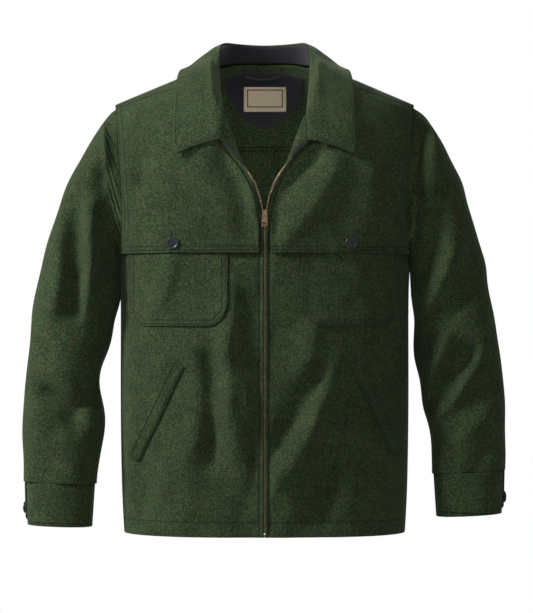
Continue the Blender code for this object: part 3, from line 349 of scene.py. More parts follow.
# The creases of the cloth. The cloth is heavy and hangs in broad soft folds that run from the chest and the
# pockets down to the hem. Each row is one fold, on the front or the back: where it starts and ends, how far
# it stands out or sinks in, and its half width.
FRONT_CREASES = (
    # start x, start z, end x, end z, rise, half width
    (-0.205, -0.082, -0.190, -0.128, 0.0030, 0.010),
    (-0.190, -0.125, -0.182, -0.185, -0.0030, 0.010),
    (-0.200, -0.140, -0.193, -0.200, -0.0028, 0.008),
    (-0.061, -0.168, -0.024, -0.262, -0.0042, 0.010),
    (-0.080, -0.150, -0.045, -0.230, 0.0024, 0.012),
    (-0.020, -0.205, -0.018, -0.258, 0.0026, 0.007),
    (-0.120, -0.230, -0.075, -0.262, -0.0016, 0.012),
    (0.112, -0.180, 0.048, -0.268, 0.0036, 0.011),
    (0.088, -0.140, 0.016, -0.225, -0.0040, 0.010),
    (0.016, -0.225, 0.018, -0.270, -0.0030, 0.008),
    (0.172, -0.165, 0.170, -0.215, 0.0026, 0.015),
    (0.200, -0.120, 0.192, -0.190, -0.0026, 0.012),
    (-0.143, -0.326, -0.168, -0.392, 0.0026, 0.010),
    (-0.185, -0.340, -0.195, -0.400, -0.0016, 0.012),
    (0.150, -0.340, 0.166, -0.400, 0.0020, 0.012),
    (-0.049, -0.366, -0.060, -0.455, 0.0044, 0.012),
    (-0.060, -0.455, -0.057, -0.540, 0.0040, 0.013),
    (-0.057, -0.540, -0.048, -0.610, 0.0034, 0.012),
    (-0.082, -0.480, -0.084, -0.625, -0.0046, 0.011),
    (-0.104, -0.470, -0.102, -0.600, 0.0034, 0.013),
    (-0.031, -0.520, -0.031, -0.650, 0.0030, 0.011),
    (-0.020, -0.600, -0.030, -0.700, -0.0022, 0.012),
    (-0.186, -0.640, -0.188, -0.700, -0.0034, 0.013),
    (-0.130, -0.650, -0.120, -0.720, 0.0020, 0.016),
    (-0.215, -0.420, -0.190, -0.520, -0.0024, 0.014),
    (0.076, -0.444, 0.067, -0.480, 0.0040, 0.010),
    (0.106, -0.492, 0.080, -0.560, 0.0040, 0.012),
    (0.080, -0.560, 0.066, -0.600, 0.0040, 0.012),
    (0.066, -0.600, 0.026, -0.655, 0.0038, 0.012),
    (0.084, -0.508, 0.026, -0.600, -0.0042, 0.010),
    (0.098, -0.640, 0.096, -0.705, -0.0038, 0.016),
    (0.140, -0.600, 0.130, -0.690, 0.0022, 0.015),
    (0.205, -0.440, 0.190, -0.540, -0.0030, 0.013),
    (0.190, -0.650, 0.180, -0.715, 0.0018, 0.016),
    (0.030, -0.680, 0.034, -0.730, 0.0016, 0.012),
)
BACK_CREASES = (
    # start x, start z, end x, end z, rise, half width
    (-0.190, -0.200, -0.130, -0.300, 0.0040, 0.013),
    (-0.170, -0.260, -0.110, -0.350, -0.0036, 0.012),
    (-0.120, -0.330, -0.075, -0.450, 0.0028, 0.014),
    (0.186, -0.190, 0.140, -0.290, 0.0038, 0.013),
    (0.160, -0.250, 0.100, -0.340, -0.0038, 0.012),
    (0.120, -0.340, 0.085, -0.450, 0.0026, 0.014),
    (-0.062, -0.480, -0.048, -0.650, 0.0034, 0.014),
    (-0.030, -0.520, -0.020, -0.690, -0.0034, 0.013),
    (0.024, -0.420, 0.036, -0.600, -0.0036, 0.014),
    (0.060, -0.500, 0.072, -0.660, 0.0030, 0.013),
    (0.110, -0.480, 0.126, -0.680, -0.0032, 0.014),
    (-0.132, -0.540, -0.140, -0.700, -0.0034, 0.013),
    (-0.180, -0.440, -0.175, -0.600, 0.0030, 0.015),
    (0.182, -0.430, 0.176, -0.610, 0.0030, 0.014),
    (0.000, -0.180, 0.006, -0.330, 0.0018, 0.018),
)
LEFT_SLEEVE_CREASES = (
    # start x, start z, end x, end z, rise, half width
    (-0.2960, -0.225, -0.2940, -0.395, -0.0060, 0.008),
    (-0.3270, -0.215, -0.3300, -0.385, 0.0036, 0.010),
    (-0.2720, -0.245, -0.2750, -0.380, 0.0040, 0.008),
    (-0.2500, -0.190, -0.2480, -0.330, -0.0050, 0.009),
    (-0.2680, -0.110, -0.2560, -0.190, -0.0034, 0.009),
    (-0.3050, -0.170, -0.3000, -0.230, 0.0026, 0.010),
    (-0.3400, -0.527, -0.3020, -0.556, -0.0056, 0.008),
    (-0.3520, -0.556, -0.3120, -0.588, 0.0040, 0.010),
    (-0.3460, -0.490, -0.3000, -0.522, 0.0036, 0.010),
    (-0.2700, -0.520, -0.2860, -0.545, -0.0040, 0.008),
    (-0.2620, -0.560, -0.2780, -0.600, 0.0034, 0.010),
    (-0.3650, -0.420, -0.3450, -0.480, -0.0026, 0.012),
    (-0.3300, -0.600, -0.3400, -0.650, -0.0022, 0.011),
    (-0.2900, -0.610, -0.2950, -0.655, 0.0020, 0.010),
    (-0.2560, -0.400, -0.2640, -0.470, -0.0030, 0.010),
)
RIGHT_SLEEVE_CREASES = (
    # start x, start z, end x, end z, rise, half width
    (0.2590, -0.095, 0.2400, -0.160, -0.0060, 0.009),
    (0.2400, -0.160, 0.2330, -0.265, -0.0050, 0.009),
    (0.2800, -0.110, 0.2640, -0.200, 0.0036, 0.011),
    (0.3000, -0.308, 0.2480, -0.400, 0.0050, 0.011),
    (0.2760, -0.270, 0.2460, -0.350, -0.0040, 0.009),
    (0.3200, -0.350, 0.2700, -0.440, -0.0028, 0.011),
    (0.3240, -0.468, 0.2660, -0.546, -0.0062, 0.009),
    (0.2840, -0.444, 0.2580, -0.496, 0.0044, 0.010),
    (0.3120, -0.512, 0.2700, -0.564, 0.0044, 0.010),
    (0.3520, -0.400, 0.3320, -0.480, 0.0028, 0.012),
    (0.3500, -0.560, 0.3000, -0.600, 0.0026, 0.011),
    (0.2680, -0.590, 0.3000, -0.630, -0.0028, 0.009),
    (0.3500, -0.610, 0.3300, -0.650, -0.0022, 0.010),
)
# Small waves that heavy cloth keeps everywhere: wave numbers along x and z, phase, height
WAVES = (
    (31.0, 19.0, 0.4, 0.0009),
    (-23.0, 37.0, 1.9, 0.0008),
    (57.0, -29.0, 3.1, 0.0005),
    (12.0, 61.0, 4.4, 0.0005),
    (83.0, 41.0, 5.2, 0.0003),
    (-71.0, 74.0, 0.9, 0.0003),
)
CREASE_DEPTH = 1.75
CREASE_SPREAD = 1.45
SLIDER_Z = -0.243
PLACKET_WIDTH = 0.0078
ZIP_DRAW = 0.0016
STRIP_RISE = 0.0014
GROOVE_SINK = 0.0008
PUCKER_WAVES = (410.0, 173.0)
HEM_PUCKER = 0.0007
HEM_SINK = 0.0004
CAPE_PUCKER = 0.0006
HEM_STITCH_Z = -0.7270
CAPE_EDGE_Z = -0.3076
BACK_YOKE_Z = -0.1403
SEAM_LAP = 0.0007
BODY_SIDE_X = 0.262
UNDERARM_DRAW = 0.006
FRONT_SEAM = (
    # distance from the middle, height of the yoke seam
    (0.083, -0.0342),
    (0.110, -0.0432),
    (0.135, -0.0509),
    (0.175, -0.0617),
    (0.215, -0.0730),
    (0.2375, -0.0817),
)


def crease_lift(rows, x, z):
    """How far the folds lift the cloth. One side of each fold is steeper than the other."""
    total = np.zeros_like(x)
    for x0, z0, x1, z1, rise, half in rows:
        run_x = x1 - x0
        run_z = z1 - z0
        length = math.hypot(run_x, run_z)
        half = CREASE_SPREAD * half
        share = ((x - x0) * run_x + (z - z0) * run_z) / length ** 2
        across = ((x - x0) * run_z - (z - z0) * run_x) / length
        across = across + 0.25 * half * np.sin(share * math.pi)
        width = np.where(across > 0, half * 1.35, half * 0.8)
        end = np.maximum(0, np.maximum(-share, share - 1)) * length
        total += rise * np.exp(-(across / width) ** 2 - (end / (1.5 * half)) ** 2)
    return total


def soft_step(value):
    """A smooth step from 0 to 1."""
    value = np.clip(value, 0.0, 1.0)
    return value * value * (3 - 2 * value)


def body_shift(points):
    """The shift of body cloth at its points. It depends on place alone, so stacked layers move together."""
    x, y, z = points.T
    front_share = soft_step((-y - 0.020) / 0.040)
    back_share = soft_step((y - 0.020) / 0.040)
    waves = sum(height * np.sin(a * x + b * z + phase) for a, b, phase, height in WAVES)
    calm = 1 - 0.85 * soft_step((z + 0.16) / 0.10)
    zip_calm = soft_step((np.abs(x) - 0.004) / 0.014)
    front_lift = (CREASE_DEPTH * crease_lift(FRONT_CREASES, x, z) + waves) * zip_calm * calm
    back_lift = (CREASE_DEPTH * crease_lift(BACK_CREASES, x, z) + 1.4 * waves) * calm
    closed = soft_step((SLIDER_Z - 0.004 - z) / 0.020) * front_share
    strip = np.exp(-((np.abs(x) - 0.0042) / 0.0030) ** 2)
    groove = np.exp(-((np.abs(x) - PLACKET_WIDTH) / 0.0014) ** 2)
    front_lift += closed * (STRIP_RISE * strip - GROOVE_SINK * groove)
    pucker = np.sin(x * PUCKER_WAVES[0]) * np.sin(x * PUCKER_WAVES[1] + 1.0)
    hem = np.exp(-((z - HEM_STITCH_Z) / 0.006) ** 2)
    front_lift += hem * (HEM_PUCKER * pucker - HEM_SINK)
    back_lift += hem * (HEM_PUCKER * pucker - HEM_SINK)
    front_lift += CAPE_PUCKER * pucker * np.exp(-((z - CAPE_EDGE_Z - 0.004) / 0.007) ** 2)
    shift = np.zeros_like(points)
    shift[:, 1] = back_lift * back_share - front_lift * front_share
    near_zip = soft_step(1 - (np.abs(x) - 0.002) / 0.010)
    shift[:, 0] = -np.sign(x) * closed * near_zip * np.minimum(ZIP_DRAW, np.abs(x) * 0.7)
    yoke_seam = np.interp(np.abs(x), [row[0] for row in FRONT_SEAM], [row[1] for row in FRONT_SEAM])
    shift[:, 2] = SEAM_LAP * front_share * np.exp(-((z - yoke_seam) / 0.004) ** 2) * np.sign(yoke_seam - z)
    back_edge = back_share * np.exp(-((z - BACK_YOKE_Z) / 0.004) ** 2)
    shift[:, 2] += SEAM_LAP * back_edge * np.sign(BACK_YOKE_Z - z)
    return shift


def sleeve_shift(rows):
    """The shift of a sleeve's cloth. The back of the sleeve creases as its front does, but less."""

    def shift_at(points):
        x, y, z = points.T
        waves = 1.3 * sum(height * np.sin(a * x + b * z + phase + y * 20) for a, b, phase, height in WAVES)
        lift = CREASE_DEPTH * crease_lift(rows, x, z) + waves
        mirrored_lift = CREASE_DEPTH * crease_lift(rows, x + 0.012 * np.sign(x), z + 0.03) + waves
        side = np.tanh(y / 0.012)
        shift = np.zeros_like(points)
        shift[:, 1] = np.where(y < 0, lift, 0.8 * mirrored_lift) * side
        outward = soft_step(1 - np.abs(y) / 0.05)
        shift[:, 0] = outward * waves * 1.5 * np.sign(x)
        underarm = soft_step((z + 0.42) / 0.05) * soft_step((-0.27 - z) / 0.03)
        beside_body = underarm * soft_step((BODY_SIDE_X - np.abs(x)) / 0.02)
        shift[:, 0] -= UNDERARM_DRAW * beside_body * np.sign(x)
        return shift

    return shift_at


WELD = 0.00002
QUAD_ANGLE = math.radians(60)
RIM_ANGLE = math.radians(55)


def fine_copy(name, levels, shift_at, crease=0.75):
    """A fine mesh on a node's form: triangles joined to quads, rims kept firm, subdivided and creased."""
    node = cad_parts[name]
    piece = bpy.data.objects.new(name + "_cloth", node.data.copy())
    bpy.context.scene.collection.objects.link(piece)
    bpy.ops.object.select_all(action="DESELECT")
    piece.select_set(True)
    bpy.context.view_layer.objects.active = piece
    bpy.ops.object.mode_set(mode="EDIT")
    bpy.ops.mesh.select_all(action="SELECT")
    bpy.ops.mesh.remove_doubles(threshold=WELD)
    bpy.ops.mesh.tris_convert_to_quads(face_threshold=QUAD_ANGLE, shape_threshold=QUAD_ANGLE)
    bpy.ops.mesh.select_mode(type="EDGE")
    bpy.ops.mesh.select_all(action="DESELECT")
    bpy.ops.mesh.edges_select_sharp(sharpness=RIM_ANGLE)
    bpy.ops.transform.edge_crease(value=crease)
    bpy.ops.object.mode_set(mode="OBJECT")
    smooth = piece.modifiers.new("Fine", "SUBSURF")
    smooth.levels = levels
    smooth.render_levels = levels
    bpy.ops.object.modifier_apply(modifier="Fine")
    if shift_at:
        count = len(piece.data.vertices)
        points = np.empty(count * 3)
        piece.data.vertices.foreach_get("co", points)
        points = points.reshape(count, 3)
        points = points + shift_at(points)
        piece.data.vertices.foreach_set("co", points.ravel())
        piece.data.update()
    piece.data.shade_smooth()
    return piece


def dress(piece, node, material, body="jacket"):
    """Gives a piece its material, hides the node it stands for and attaches it to the body it rides on."""
    piece.data.materials.clear()
    piece.data.materials.append(material)
    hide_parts(node)
    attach(piece, body)
    return piece


# The fronts. Two panels of the wool, one each side of the zip, cut from the hem to the yoke seam. Their top
# corners turn outward along the zip.
PLACKET_FOOT_Z = -0.7460
ZIP_EDGE = (
    # height, distance of the front's edge from the middle
    (-0.2560, 0.0016),
    (-0.2404, 0.0043),
    (-0.2210, 0.0091),
    (-0.2001, 0.0161),
    (-0.1835, 0.0258),
    (-0.1690, 0.0370),
    (-0.1530, 0.0508),
    (-0.1350, 0.0680),
)
PLACKET_LINE = [(PLACKET_WIDTH, PLACKET_FOOT_Z), (PLACKET_WIDTH, -0.262)]
PLACKET_LINE += [(x + 0.0050, z) for z, x in ZIP_EDGE[1:7]]
HEM_LINE = [(0.011, HEM_STITCH_Z), (0.226, HEM_STITCH_Z)]
ARMHOLE_SEAM = (
    # height, distance from the middle
    (-0.3120, 0.2300),
    (-0.2830, 0.2245),
    (-0.2456, 0.2234),
    (-0.2100, 0.2255),
    (-0.1820, 0.2285),
    (-0.1400, 0.2315),
    (-0.1130, 0.2340),
    (-0.0850, 0.2375),
    (-0.0672, 0.2400),
)
ARMHOLE_LINE = [(x - 0.0075, z) for z, x in ARMHOLE_SEAM[1:]]
DOUBLE = 0.0030


def on_side(line, side):
    """A line given for the right side, mirrored for the left."""
    sign = -1 if side == "left" else 1
    return [(sign * x, z) for x, z in line]


surfaces = {}
for side in ("left", "right"):
    sewn = [(on_side(line, side), apart, "front") for line, apart in
            ((PLACKET_LINE, 0.0), (HEM_LINE, 0.0), (ARMHOLE_LINE, DOUBLE))]
    name = "front_" + side
    front_wool = green_wool("Wool of the " + side + " front", sewn)
    front = dress(fine_copy(name, 3, body_shift), name, front_wool)
    surfaces[name] = front

# The back. One panel of the wool between the side seams, from the hem up to the seam of the yoke, with the
# same hem and armhole stitching as the fronts.
back_rows = [([(0.0, HEM_STITCH_Z), (0.226, HEM_STITCH_Z)], 0.0, "back"), (ARMHOLE_LINE, DOUBLE, "back")]
back_wool = green_wool("Wool of the back", back_rows, True)
back = dress(fine_copy("back", 3, body_shift), "back", back_wool)
surfaces["back"] = back

# The back yoke. One piece of the wool across the shoulders, lapped over them to a seam in front and sewn to
# the back along a double row.
YOKE_LINE = [(0.086, -0.0290), (0.135, -0.0455), (0.175, -0.0562), (0.233, -0.0755)]
YOKE_FOOT_LINE = [(-0.226, -0.1315), (0.226, -0.1315)]
yoke_rows = [
    ([(0.0, YOKE_FOOT_LINE[1][1]), YOKE_FOOT_LINE[1]], DOUBLE, "back"),
    (YOKE_LINE, 0.0, "front"),
    (ARMHOLE_LINE[-4:], DOUBLE, "both"),
]
yoke_wool = green_wool("Wool of the yoke", yoke_rows, True)
yoke = dress(fine_copy("back_yoke", 3, body_shift), "back_yoke", yoke_wool)
surfaces["back_yoke"] = yoke

# The sleeves. Each is a tube of the wool set into its armhole. It hangs a little bent, with deep soft folds
# inside the elbow.
SEAM_CLOSE = 0.0016


def close_seam(points):
    """Draws the sleeve's head in against the armhole, so that the sewn edges touch."""
    x, y, z = points.T
    seam_x = np.interp(z, [row[0] for row in ARMHOLE_SEAM], [row[1] for row in ARMHOLE_SEAM])
    near = soft_step(1 - (np.abs(x) - seam_x) / 0.012) * soft_step((z + 0.335) / 0.02)
    shift = np.zeros_like(points)
    shift[:, 0] = -np.sign(x) * SEAM_CLOSE * near
    return shift


plain_wool = green_wool("Wool of the sleeves")
for side, rows in (("left", LEFT_SLEEVE_CREASES), ("right", RIGHT_SLEEVE_CREASES)):
    creased = sleeve_shift(rows)
    name = "sleeve_" + side
    sleeve = dress(fine_copy(name, 3, lambda p: creased(p) + close_seam(p)), name, plain_wool)
    surfaces[name] = sleeve

# The cuffs. Each is a band of the wool sewn to the sleeve's end, stitched round its edge, lapped and buttoned
# at the side.
CUFF_INSET = 0.005
CUFF_RISE = 0.004
for side in ("left", "right"):
    name = "cuff_" + side
    low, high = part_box(name)
    lines = []
    for way in ("front", "back"):
        foot = low[2] + CUFF_INSET
        lines.append(([(low[0], foot + CUFF_RISE), (high[0], foot)], 0.0, way))
    cuff_wool = green_wool("Wool of the " + side + " cuff", lines)
    cuff = dress(fine_copy(name, 2, None, 0.55), name, cuff_wool)
    surfaces[name] = cuff

# The front capes. A second layer of the wool on each front, sewn in at the yoke seam and the zip. Its lower
# edge hangs free over the pocket.
CAPE_STITCH_Z = CAPE_EDGE_Z + 0.0065
CAPE_LINE = [(0.0125, CAPE_STITCH_Z), (0.222, CAPE_STITCH_Z)]
HOLE_HALF = 0.006
BUTTONHOLE = {"left": (-0.1440, -0.2790), "right": (0.1370, -0.2785)}
for side in ("left", "right"):
    name = "front_cape_" + side
    sewn = [(on_side(line, side), apart, "front") for line, apart in
            ((PLACKET_LINE, 0.0), (CAPE_LINE, DOUBLE), (ARMHOLE_LINE, DOUBLE))]
    hole_x, hole_z = BUTTONHOLE[side]
    # The buttonhole's slit is not cut: it is a short sewn line, darkened with painted shade.
    sewn.append(([(hole_x, hole_z - HOLE_HALF), (hole_x, hole_z + HOLE_HALF)], 0.0005, "front"))
    cape_wool = green_wool("Wool of the " + side + " cape", sewn)
    cape = dress(fine_copy(name, 3, body_shift), name, cape_wool)
    surfaces[name] = cape

# The collar. One band of the wool sewn round the neck. It stands at the back, folds down all round and ends
# in two points at the front.
COLLAR_LINE = [
    (0.1365, -0.0600),
    (0.1375, -0.0850),
    (0.1380, -0.1100),
    (0.1375, -0.1350),
    (0.1330, -0.1455),
    (0.1180, -0.1420),
    (0.1000, -0.1360),
    (0.0820, -0.1290),
    (0.0700, -0.1230),
]
collar_wool = green_wool("Wool of the collar", [(COLLAR_LINE, 0.0, "front")], True)
collar = dress(fine_copy("collar", 2, None, 0.6), "collar", collar_wool)
surfaces["collar"] = collar

# The pockets. Two patches of the wool with cut-off lower corners, their tops under the capes, and two
# slanted welts that stand at the mouths of the hand pockets.
POCKET_SIDES = {"left": (-0.2140, -0.0570), "right": (0.0580, 0.2120)}
POCKET_FOOT_Z = -0.4214
POCKET_CORNER = 0.020
POCKET_TOP_Z = -0.300
POCKET_INSET = 0.0058
WELT_ENDS = {
    "left": ((-0.1327, -0.4800), (-0.2050, -0.6300)),
    "right": ((0.1430, -0.4780), (0.2110, -0.6250)),
}
WELT_INSET = 0.0030
WELT_HALF = 0.0065


def pocket_line(side):
    """The middle of the two rows of stitches round a pocket, with its corners cut off."""
    x0, x1 = POCKET_SIDES[side]
    x0 += POCKET_INSET
    x1 -= POCKET_INSET
    foot = POCKET_FOOT_Z + POCKET_INSET
    corner = POCKET_CORNER - 0.4 * POCKET_INSET
    left_run = [(x0, POCKET_TOP_Z), (x0, foot + corner), (x0 + corner, foot)]
    return left_run + [(x1 - corner, foot), (x1, foot + corner), (x1, POCKET_TOP_Z)]


def welt_lines(side):
    """The four edges of a welt's stitching."""
    top, foot = (Vector(end) for end in WELT_ENDS[side])
    run = (foot - top).normalized()
    wide = Vector((-run.y, run.x)) * WELT_HALF
    top = top + run * WELT_INSET
    foot = foot - run * WELT_INSET
    return [tuple(p) for p in (top + wide, foot + wide, foot - wide, top - wide, top + wide)]


for side in ("left", "right"):
    name = "chest_pocket_" + side
    pocket_wool = green_wool("Wool of the " + side + " pocket", [(pocket_line(side), DOUBLE, "front")])
    pocket = dress(fine_copy(name, 3, body_shift), name, pocket_wool)
    surfaces[name] = pocket
    name = "hand_pocket_welt_" + side
    welt_wool = green_wool("Wool of the " + side + " welt", [(welt_lines(side), 0.0, "front")])
    welt = dress(fine_copy(name, 2, body_shift), name, welt_wool)
    surfaces[name] = welt

# The neck's inside. A dark twill lines the collar's stand and faces the back below it. A satin loop is sewn
# over the facing, and a plain woven label is sewn on it.
NAVY = (0.0120, 0.0115, 0.0170, 1)
NAVY_LIGHT = (0.0280, 0.0260, 0.0350, 1)
SATIN_DARK = (0.006, 0.006, 0.009)
SATIN_PAINTED_SHEEN = (0.022, 0.021, 0.026)
LINEN_DARK = (0.50, 0.40, 0.27)
LINEN_LIGHT = (0.76, 0.64, 0.47)
LINEN_BORDER = (0.070, 0.048, 0.034, 1)
TWILL_SCALE = 260.0


def diagonal(tree, vector, scale, angle):
    """The height of a fine twill line at an angle in the cloth's plane."""
    mapping = tree.nodes.new("ShaderNodeMapping")
    mapping.inputs["Rotation"].default_value = (0.0, angle, 0.0)
    tree.links.new(vector, mapping.inputs["Vector"])
    wave = tree.nodes.new("ShaderNodeTexWave")
    wave.bands_direction = "X"
    wave.inputs["Scale"].default_value = scale
    wave.inputs["Distortion"].default_value = 0.6
    tree.links.new(mapping.outputs["Vector"], wave.inputs["Vector"])
    return wave.outputs["Fac"]


navy, tree, shader, place = finish("Navy twill", 0.62, sheen=0.1, specular=0.35)
twill = diagonal(tree, place, TWILL_SCALE, math.radians(35))
tree.links.new(ramp(tree, twill, (0.2, NAVY), (0.9, NAVY_LIGHT)), shader.inputs["Base Color"])
bump(tree, shader, twill, 0.0003)

# Painted sheen: lighter streaks in the satin's colour stand in for its shine, and the same streaks give it a
# slight bump.
satin, tree, shader, place = finish("Dark satin", 0.30, specular=0.6)
painted_sheen_and_ribs = noise(tree, place, 500.0, 2.0, 0.5, (4.0, 1.0, 1.0))
tree.links.new(ramp(tree, painted_sheen_and_ribs, (0.3, SATIN_DARK), (0.7, SATIN_PAINTED_SHEEN)), shader.inputs["Base Color"])
bump(tree, shader, painted_sheen_and_ribs, 0.0002)

LABEL_MIDDLE = (0.0006, -0.0496)
LABEL_HALF = (0.0285, 0.0135)
BORDER_HALF = 0.0009
linen, tree, shader, place = finish("Tan woven label", 0.82, sheen=0.1, specular=0.25)
threads = noise(tree, place, 500.0, 2.0, 0.6, (1.0, 1.0, 5.0))
ground_colour = ramp(tree, threads, (0.30, LINEN_DARK), (0.70, LINEN_LIGHT))
parts = tree.nodes.new("ShaderNodeSeparateXYZ")
tree.links.new(place, parts.inputs[0])
across = calculated(tree, "ABSOLUTE", calculated(tree, "SUBTRACT", parts.outputs["X"], LABEL_MIDDLE[0]))
upward = calculated(tree, "ABSOLUTE", calculated(tree, "SUBTRACT", parts.outputs["Z"], LABEL_MIDDLE[1]))
reach = calculated(
    tree, "MAXIMUM",
    calculated(tree, "SUBTRACT", across, LABEL_HALF[0]),
    calculated(tree, "SUBTRACT", upward, LABEL_HALF[1]),
)
border = calculated(tree, "LESS_THAN", calculated(tree, "ABSOLUTE", reach), BORDER_HALF)
tree.links.new(mixed(tree, border, ground_colour, LINEN_BORDER), shader.inputs["Base Color"])
bump(tree, shader, threads, 0.0003)

lining = dress(fine_copy("collar_stand_lining", 2, None), "collar_stand_lining", navy)
facing = dress(fine_copy("back_neck_facing", 2, None), "back_neck_facing", navy)
label = dress(fine_copy("neck_label", 2, None), "neck_label", linen)
dress(fine_copy("hanger_loop", 1, None), "hanger_loop", satin)

# The zip. Dark woven tapes carry brass teeth up both edges. The teeth are closed from the box at the hem to
# the slider, and stand apart above it along the turned-out corners.
TOOTH_PITCH = 0.0024
TOOTH_SIZE = (0.0026, 0.0015, 0.0013)
BRASS_DARK = (0.20, 0.135, 0.075)
BRASS_MID = (0.48, 0.35, 0.21)
BRASS_LIGHT = (0.70, 0.55, 0.36)
TAPE_DARK = (0.006, 0.007, 0.007)
TAPE_LIGHT = (0.022, 0.024, 0.024)
TAPE_SCALE = 420.0
ZIP_FOOT_Z = -0.742
ZIP_TOP_Z = -0.140
CLOSED_EDGE = 0.0016
TOOTH_STAGGER = 0.0006
TOOTH_SINK = 0.0030
OPEN_TOOTH_RISE = 0.0052
brass, tree, shader, place = finish("Aged brass", 0.36, metallic=1.0)
worn = noise(tree, place, 320.0, 4.0, 0.6)
wear = ramp(tree, worn, (0.30, BRASS_DARK), (0.52, BRASS_MID), (0.75, BRASS_LIGHT))
tree.links.new(wear, shader.inputs["Base Color"])
tree.links.new(calculated(tree, "MULTIPLY_ADD", worn, -0.35, 0.55), shader.inputs["Roughness"])
bump(tree, shader, worn, 0.0001)

tape_weave, tree, shader, place = finish("Dark zip tape", 0.75, sheen=0.1, specular=0.3)
herring = diagonal(tree, place, TAPE_SCALE, math.radians(50))
tree.links.new(ramp(tree, herring, (0.2, TAPE_DARK), (0.9, TAPE_LIGHT)), shader.inputs["Base Color"])
bump(tree, shader, herring, 0.0003)

for side in ("left", "right"):
    name = "zip_tape_" + side
    tape = dress(fine_copy(name, 1, body_shift), name, tape_weave)
    name = "zip_tape_top_" + side
    tape = dress(fine_copy(name, 1, None), name, tape_weave)


def front_surface(pieces, x, z):
    """The foremost point of some pieces at x, z, and the surface's normal there."""
    best = None
    for piece in pieces:
        hit, normal, _, _ = looks[piece].ray_cast(Vector((x, -RAY_START, z)), Vector((0, 1, 0)))
        if hit is not None and (best is None or hit.y < best[0].y):
            best = (hit, normal)
    return best


RAY_START = 0.4
graph = bpy.context.evaluated_depsgraph_get()
looks = {name: BVHTree.FromObject(piece, graph) for name, piece in surfaces.items()}


BLOCK_BEVEL = 0.12


def block_mesh(name, blocks):
    """One mesh of small bevelled blocks. Each has its middle, size and the directions of its three sides."""
    bpy.ops.mesh.primitive_cube_add(size=1)
    pattern = bpy.context.object
    soft = pattern.modifiers.new("Edges", "BEVEL")
    soft.width = BLOCK_BEVEL
    soft.segments = 1
    bpy.ops.object.modifier_apply(modifier="Edges")
    corners = np.array([v.co for v in pattern.data.vertices])
    faces = [list(face.vertices) for face in pattern.data.polygons]
    bpy.data.objects.remove(pattern, do_unlink=True)
    points = []
    polygons = []
    for middle, size, sides in blocks:
        start = len(points) * len(corners)
        turned = np.array([list(side) for side in sides]) * np.array(size)[:, None]
        points.append(corners @ turned + np.array(middle))
        polygons.extend([[start + k for k in face] for face in faces])
    mesh = bpy.data.meshes.new(name)
    mesh.from_pydata(np.concatenate(points).tolist(), [], polygons)
    made = bpy.data.objects.new(name, mesh)
    bpy.context.scene.collection.objects.link(made)
    return made


def zip_edge(z):
    """How far the edge of a front stands from the middle at a height above the slider."""
    return float(np.interp(z, [row[0] for row in ZIP_EDGE], [row[1] for row in ZIP_EDGE]))


for side, sign in (("left", -1), ("right", 1)):
    blocks = []
    z = ZIP_FOOT_Z
    while z < ZIP_TOP_Z:
        edge_x = zip_edge(z) if z > SLIDER_Z else CLOSED_EDGE
        hit = front_surface(("front_left", "front_right"), sign * (edge_x + 0.004), z)
        if hit is None:
            z += TOOTH_PITCH
            continue
        slope = (zip_edge(z + 0.004) - zip_edge(z - 0.004)) / 0.008 if z > SLIDER_Z else 0.0
        along_zip = Vector((sign * slope, 0, 1)).normalized()
        away = Vector((along_zip.z, 0, -along_zip.x)) * sign
        open_share = min(1.0, max(0.0, (z - SLIDER_Z) / 0.02))
        x = sign * (0.0006 + (edge_x - CLOSED_EDGE) - 0.0006 * open_share)
        deep = TOOTH_SINK - OPEN_TOOTH_RISE * open_share
        place = Vector((x, hit[0].y + deep, z + sign * TOOTH_STAGGER))
        blocks.append((place, TOOTH_SIZE, (away, Vector((0, 1, 0)), along_zip)))
        z += TOOTH_PITCH / math.hypot(1.0, slope)
    teeth = block_mesh("zip_teeth_" + side, blocks)
    teeth.data.materials.append(brass)
    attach(teeth, "jacket")

for name in ("zip_slider", "pull_tab", "zip_retainer_box"):
    for material_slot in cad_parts[name].material_slots:
        material_slot.material = brass

# The buttons. Four dark four-hole buttons with a raised rim, sewn with green thread: one on each cape's edge
# and one on each cuff's lap.
BUTTON_RADIUS = 0.0095
BUTTON_THICK = 0.0028
HOLE_RADIUS = 0.0010
HOLE_REACH = 0.0026
HORN_DARK = (0.008, 0.010, 0.012)
HORN_LIGHT = (0.030, 0.034, 0.038)
THREAD_DARK = (0.014, 0.030, 0.019)
THREAD_LIGHT = (0.045, 0.078, 0.050)
CUFF_BUTTON_BACK = 0.30
horn, tree, shader, place = finish("Dark button", 0.28, specular=0.55)
swirl = noise(tree, place, 180.0, 3.0, 0.6, (1.0, 1.0, 3.0))
tree.links.new(ramp(tree, swirl, (0.30, HORN_DARK), (0.70, HORN_LIGHT)), shader.inputs["Base Color"])
bump(tree, shader, swirl, 0.0001)
thread, tree, shader, place = finish("Green thread", 0.8, sheen=0.2, specular=0.3)
twist = noise(tree, place, 1200.0, 1.0, 0.5)
tree.links.new(ramp(tree, twist, (0.3, THREAD_DARK), (0.7, THREAD_LIGHT)), shader.inputs["Base Color"])
bump(tree, shader, twist, 0.0002)


